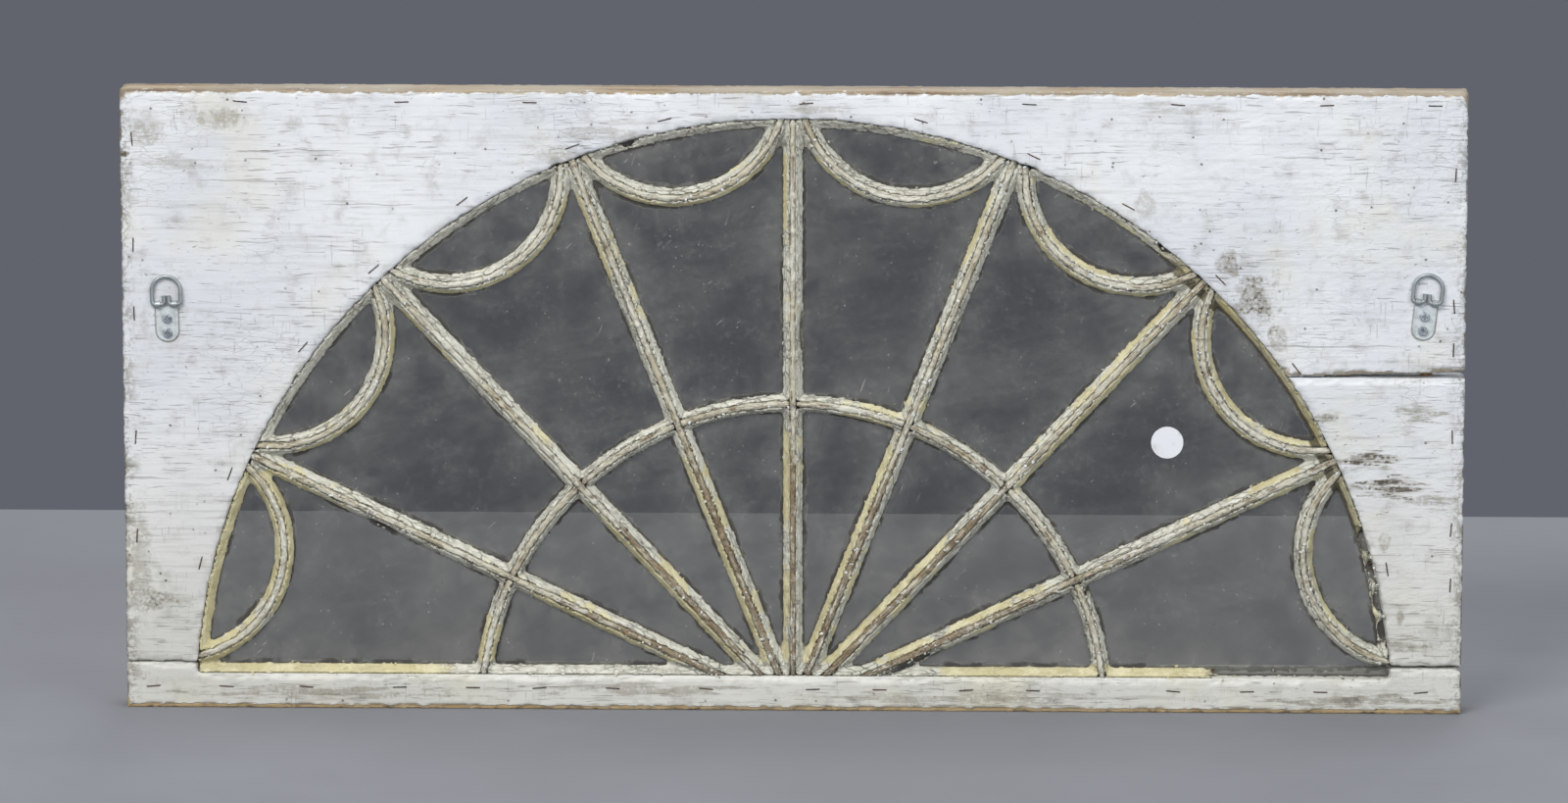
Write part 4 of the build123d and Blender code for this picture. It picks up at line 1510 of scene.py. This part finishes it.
@dataclass
class FaceStaples:
    """Bent wire staples in place of the CAD ones, each a little askew."""

    node: str = "face_staples"
    wire: float = 0.0011
    crown: float = 0.0127
    leg: float = 0.0065
    bend: float = 0.0008

    def _islands(self) -> list[tuple[Vector, float]]:
        """Centre and turn of each CAD staple's crown.

        Returns:
            Pairs of a point and an angle in radians.
        """
        source = merged_copy([self.node])
        work = bmesh.new()
        work.from_mesh(source.data)
        left = set(work.verts)
        found = []
        while left:
            group, queue = [], [left.pop()]
            while queue:
                vert = queue.pop()
                group.append(vert.co.copy())
                for edge in vert.link_edges:
                    other = edge.other_vert(vert)
                    if other in left:
                        left.discard(other)
                        queue.append(other)
            # In a fixed order, since a set's own order changes from run to run.
            points = np.array(sorted(tuple(p) for p in group))
            flat = points[:, [0, 2]]
            middle = flat.mean(axis=0)
            _, _, rows = np.linalg.svd(flat - middle)
            turn = math.atan2(rows[0][1], rows[0][0])
            found.append((Vector((middle[0], points[:, 1].min(), middle[1])), turn))
        work.free()
        bpy.data.objects.remove(source, do_unlink=True)
        return sorted(found, key=lambda pair: (round(pair[0].x, 4), round(pair[0].z, 4)))

    def _wire_path(self) -> bpy.types.Object:
        """The middle line of one staple as a chain of edges.

        Returns:
            The path's object.
        """
        half = (self.crown - self.wire) / 2
        corner = [
            (half - self.bend * (1 - math.sin(a)), self.bend * (1 - math.cos(a)))
            for a in (math.radians(step) for step in (0, 30, 60, 90))
        ]
        right = [(x, 0.0, y) for x, y in corner] + [(half, 0.0, self.leg)]
        side = [(x, y, 0.0) for x, _, y in right]
        points = [(-x, y, z) for x, y, z in reversed(side)] + side
        mesh = bpy.data.meshes.new("staple_path")
        mesh.from_pydata(points, [(i, i + 1) for i in range(len(points) - 1)], [])
        return placed("staple_path", mesh)

    def build(self, tree: StapleTree) -> None:
        """Makes the staples.

        Args:
            tree: The tree that sets them out.
        """
        found = self._islands()
        mesh = bpy.data.meshes.new("staple_points")
        lift = self.wire * 0.3
        mesh.from_pydata([(p.x, p.y + lift, p.z) for p, _ in found], [], [])
        turns = mesh.attributes.new("turn", "FLOAT", "POINT")
        turns.data.foreach_set("value", [turn for _, turn in found])
        piece = placed("staple_points", mesh)
        path = self._wire_path()
        tree.apply_to(
            piece, Material=FINISHES[Slot.IRON].material(), Wire=self.wire, Staple=path
        )
        made = frozen(piece, "wire_staples")
        bpy.data.objects.remove(path, do_unlink=True)
        settle(made, SASH, [self.node])


@dataclass
class Glazing:
    """Panes, sprigs, dowels and tag, which keep their CAD shapes."""

    def build(self) -> None:
        """Dresses each node."""
        for number in range(1, SECTIONS + 1):
            dress(f"hub_pane_{number}", Slot.GLASS)
            dress(f"middle_pane_{number}", Slot.GLASS)
        dress("crescent_panes", Slot.GLASS)
        dress("glazing_sprigs", Slot.IRON)
        dress("frame_dowels", Slot.DOWEL)
        dress("paper_tag", Slot.PAPER)


@dataclass
class Hangers:
    """Plates, rings and screws, which keep their CAD shapes."""

    def build(self) -> None:
        """Dresses each node."""
        for side in ("left", "right"):
            dress(f"{side}_hanger_plate", Slot.ZINC)
            dress(f"{side}_hanger_ring", Slot.ZINC)
        dress("hanger_screws", Slot.SCREW)


# ------------------------------------------------------------------ studio
@dataclass(frozen=True)
class Lamp:
    """A soft area light."""

    name: str
    place: tuple[float, float, float]
    size: tuple[float, float]
    watts: float
    colour: Colour = (1.0, 1.0, 1.0)


@dataclass
class Studio:
    """Floor, lights, backdrop tone and camera."""

    azimuth: float = 1.5
    elevation: float = 10.4
    distance: float = 7.3
    lens: float = 196.5
    sensor: float = 36.0
    shift: tuple[float, float] = (-8.86 / 1600, 3.4 / 1600)
    aim: tuple[float, float, float] = (0.0, -0.0175, 0.267)
    floor_back: float = 0.86
    backdrop: Colour = tint(97, 100, 109)
    lamps: tuple[Lamp, ...] = (
        Lamp("key", (-1.6, -3.2, 3.0), (2.6, 2.0), 165.0, (1.0, 0.99, 0.97)),
        Lamp("fill", (2.4, -3.4, 1.6), (2.4, 2.0), 70.0, (0.95, 0.98, 1.0)),
        Lamp("top", (0.0, 0.2, 3.2), (3.0, 2.0), 60.0, (0.98, 0.99, 1.0)),
        Lamp("behind", (0.6, 3.4, 2.2), (2.4, 1.8), 45.0, (0.98, 0.99, 1.0)),
    )

    def floor(self) -> None:
        """Lays the floor under the sash."""
        work = bmesh.new()
        corners = ((-4, -5), (4, -5), (4, self.floor_back), (-4, self.floor_back))
        work.faces.new([work.verts.new((x, y, 0.0)) for x, y in corners])
        bmesh.ops.subdivide_edges(work, edges=work.edges, cuts=3, use_grid_fill=True)
        mesh = mesh_of(work, "studio_floor")
        mesh.materials.append(FloorCloth("floor_cloth").material())
        placed("studio_floor", mesh)

    def lights(self) -> None:
        """Hangs the area lights and sets the backdrop's tone."""
        for lamp in self.lamps:
            data = bpy.data.lights.new(lamp.name, "AREA")
            data.shape = "RECTANGLE"
            data.size, data.size_y = lamp.size
            data.energy = lamp.watts
            data.color = lamp.colour
            light = placed(lamp.name, data)
            light.location = lamp.place
            aim = Vector((0.0, 0.0, 0.25)) - Vector(lamp.place)
            light.rotation_euler = aim.to_track_quat("-Z", "Y").to_euler()
            light.visible_camera = False
        world = bpy.data.worlds.new("studio_tone")
        bpy.context.scene.world = world
        world.use_nodes = True
        tone = next(n for n in world.node_tree.nodes if n.type == "BACKGROUND")
        tone.inputs["Color"].default_value = (*self.backdrop, 1.0)
        tone.inputs["Strength"].default_value = 1.0

    def camera(self) -> None:
        """Sets up the camera."""
        data = bpy.data.cameras.new("camera")
        data.sensor_width = self.sensor
        data.lens = self.lens
        data.shift_x, data.shift_y = self.shift
        data.clip_end = 60.0
        camera = placed("camera", data)
        turn, rise = math.radians(self.azimuth), math.radians(self.elevation)
        level = math.cos(rise)
        back = Vector((math.sin(turn) * level, -math.cos(turn) * level, math.sin(rise)))
        camera.location = Vector(self.aim) + back * self.distance
        camera.rotation_euler = (-back).to_track_quat("-Z", "Y").to_euler()
        bpy.context.scene.camera = camera

    def build(self) -> None:
        """Makes the whole studio."""
        self.camera()
        self.floor()
        self.lights()
        bpy.context.scene.view_settings.view_transform = "Standard"
        LOG.info("studio ready")


def main() -> None:
    """Builds the sash's looks in order."""
    logging.basicConfig(level=logging.INFO, format="%(name)s: %(message)s")
    Studio().build()
    skin = WornSkinTree()
    lines = BarLines()
    joined = ("top_rail", "left_upper_board", "right_upper_board", "left_lower_board")
    surround = {"painted_surround": joined}
    WornWood(surround, Slot.FRAME, Wear(voxel=0.0023)).build(skin, lines)
    loose = {"right_foot_board": ("right_lower_board",), "painted_rail": ("bottom_rail",)}
    rougher = Wear(voxel=0.0020, chip_depth=0.0016, chip_share=0.50)
    WornWood(loose, Slot.FRAME, rougher).build(skin, lines)
    names = [f"spoke_{k}" for k in range(1, SECTIONS)]
    names += [f"{kind}_{k}" for kind in ("inner_bar", "scallop") for k in range(1, SECTIONS + 1)]
    bars = {f"{name}_worn": (name,) for name in names}
    thin = Wear(
        voxel=0.0014,
        lump_size=80.0,
        lump_depth=0.00040,
        pit_depth=0.00025,
        chip_depth=0.0012,
        chip_share=0.52,
    )
    WornWood(bars, Slot.BAR, thin).build(skin, lines)
    PuttyBeads().build(skin, lines)
    beads = ("hub_putty", "middle_putty", "crescent_putty")
    Flakes({Slot.FRAME: tuple(names), Slot.PUTTY: beads}).build(FlakeTree(), lines)
    Glazing().build()
    FaceStaples().build(StapleTree())
    Hangers().build()


if __name__ == "__main__":
    main()
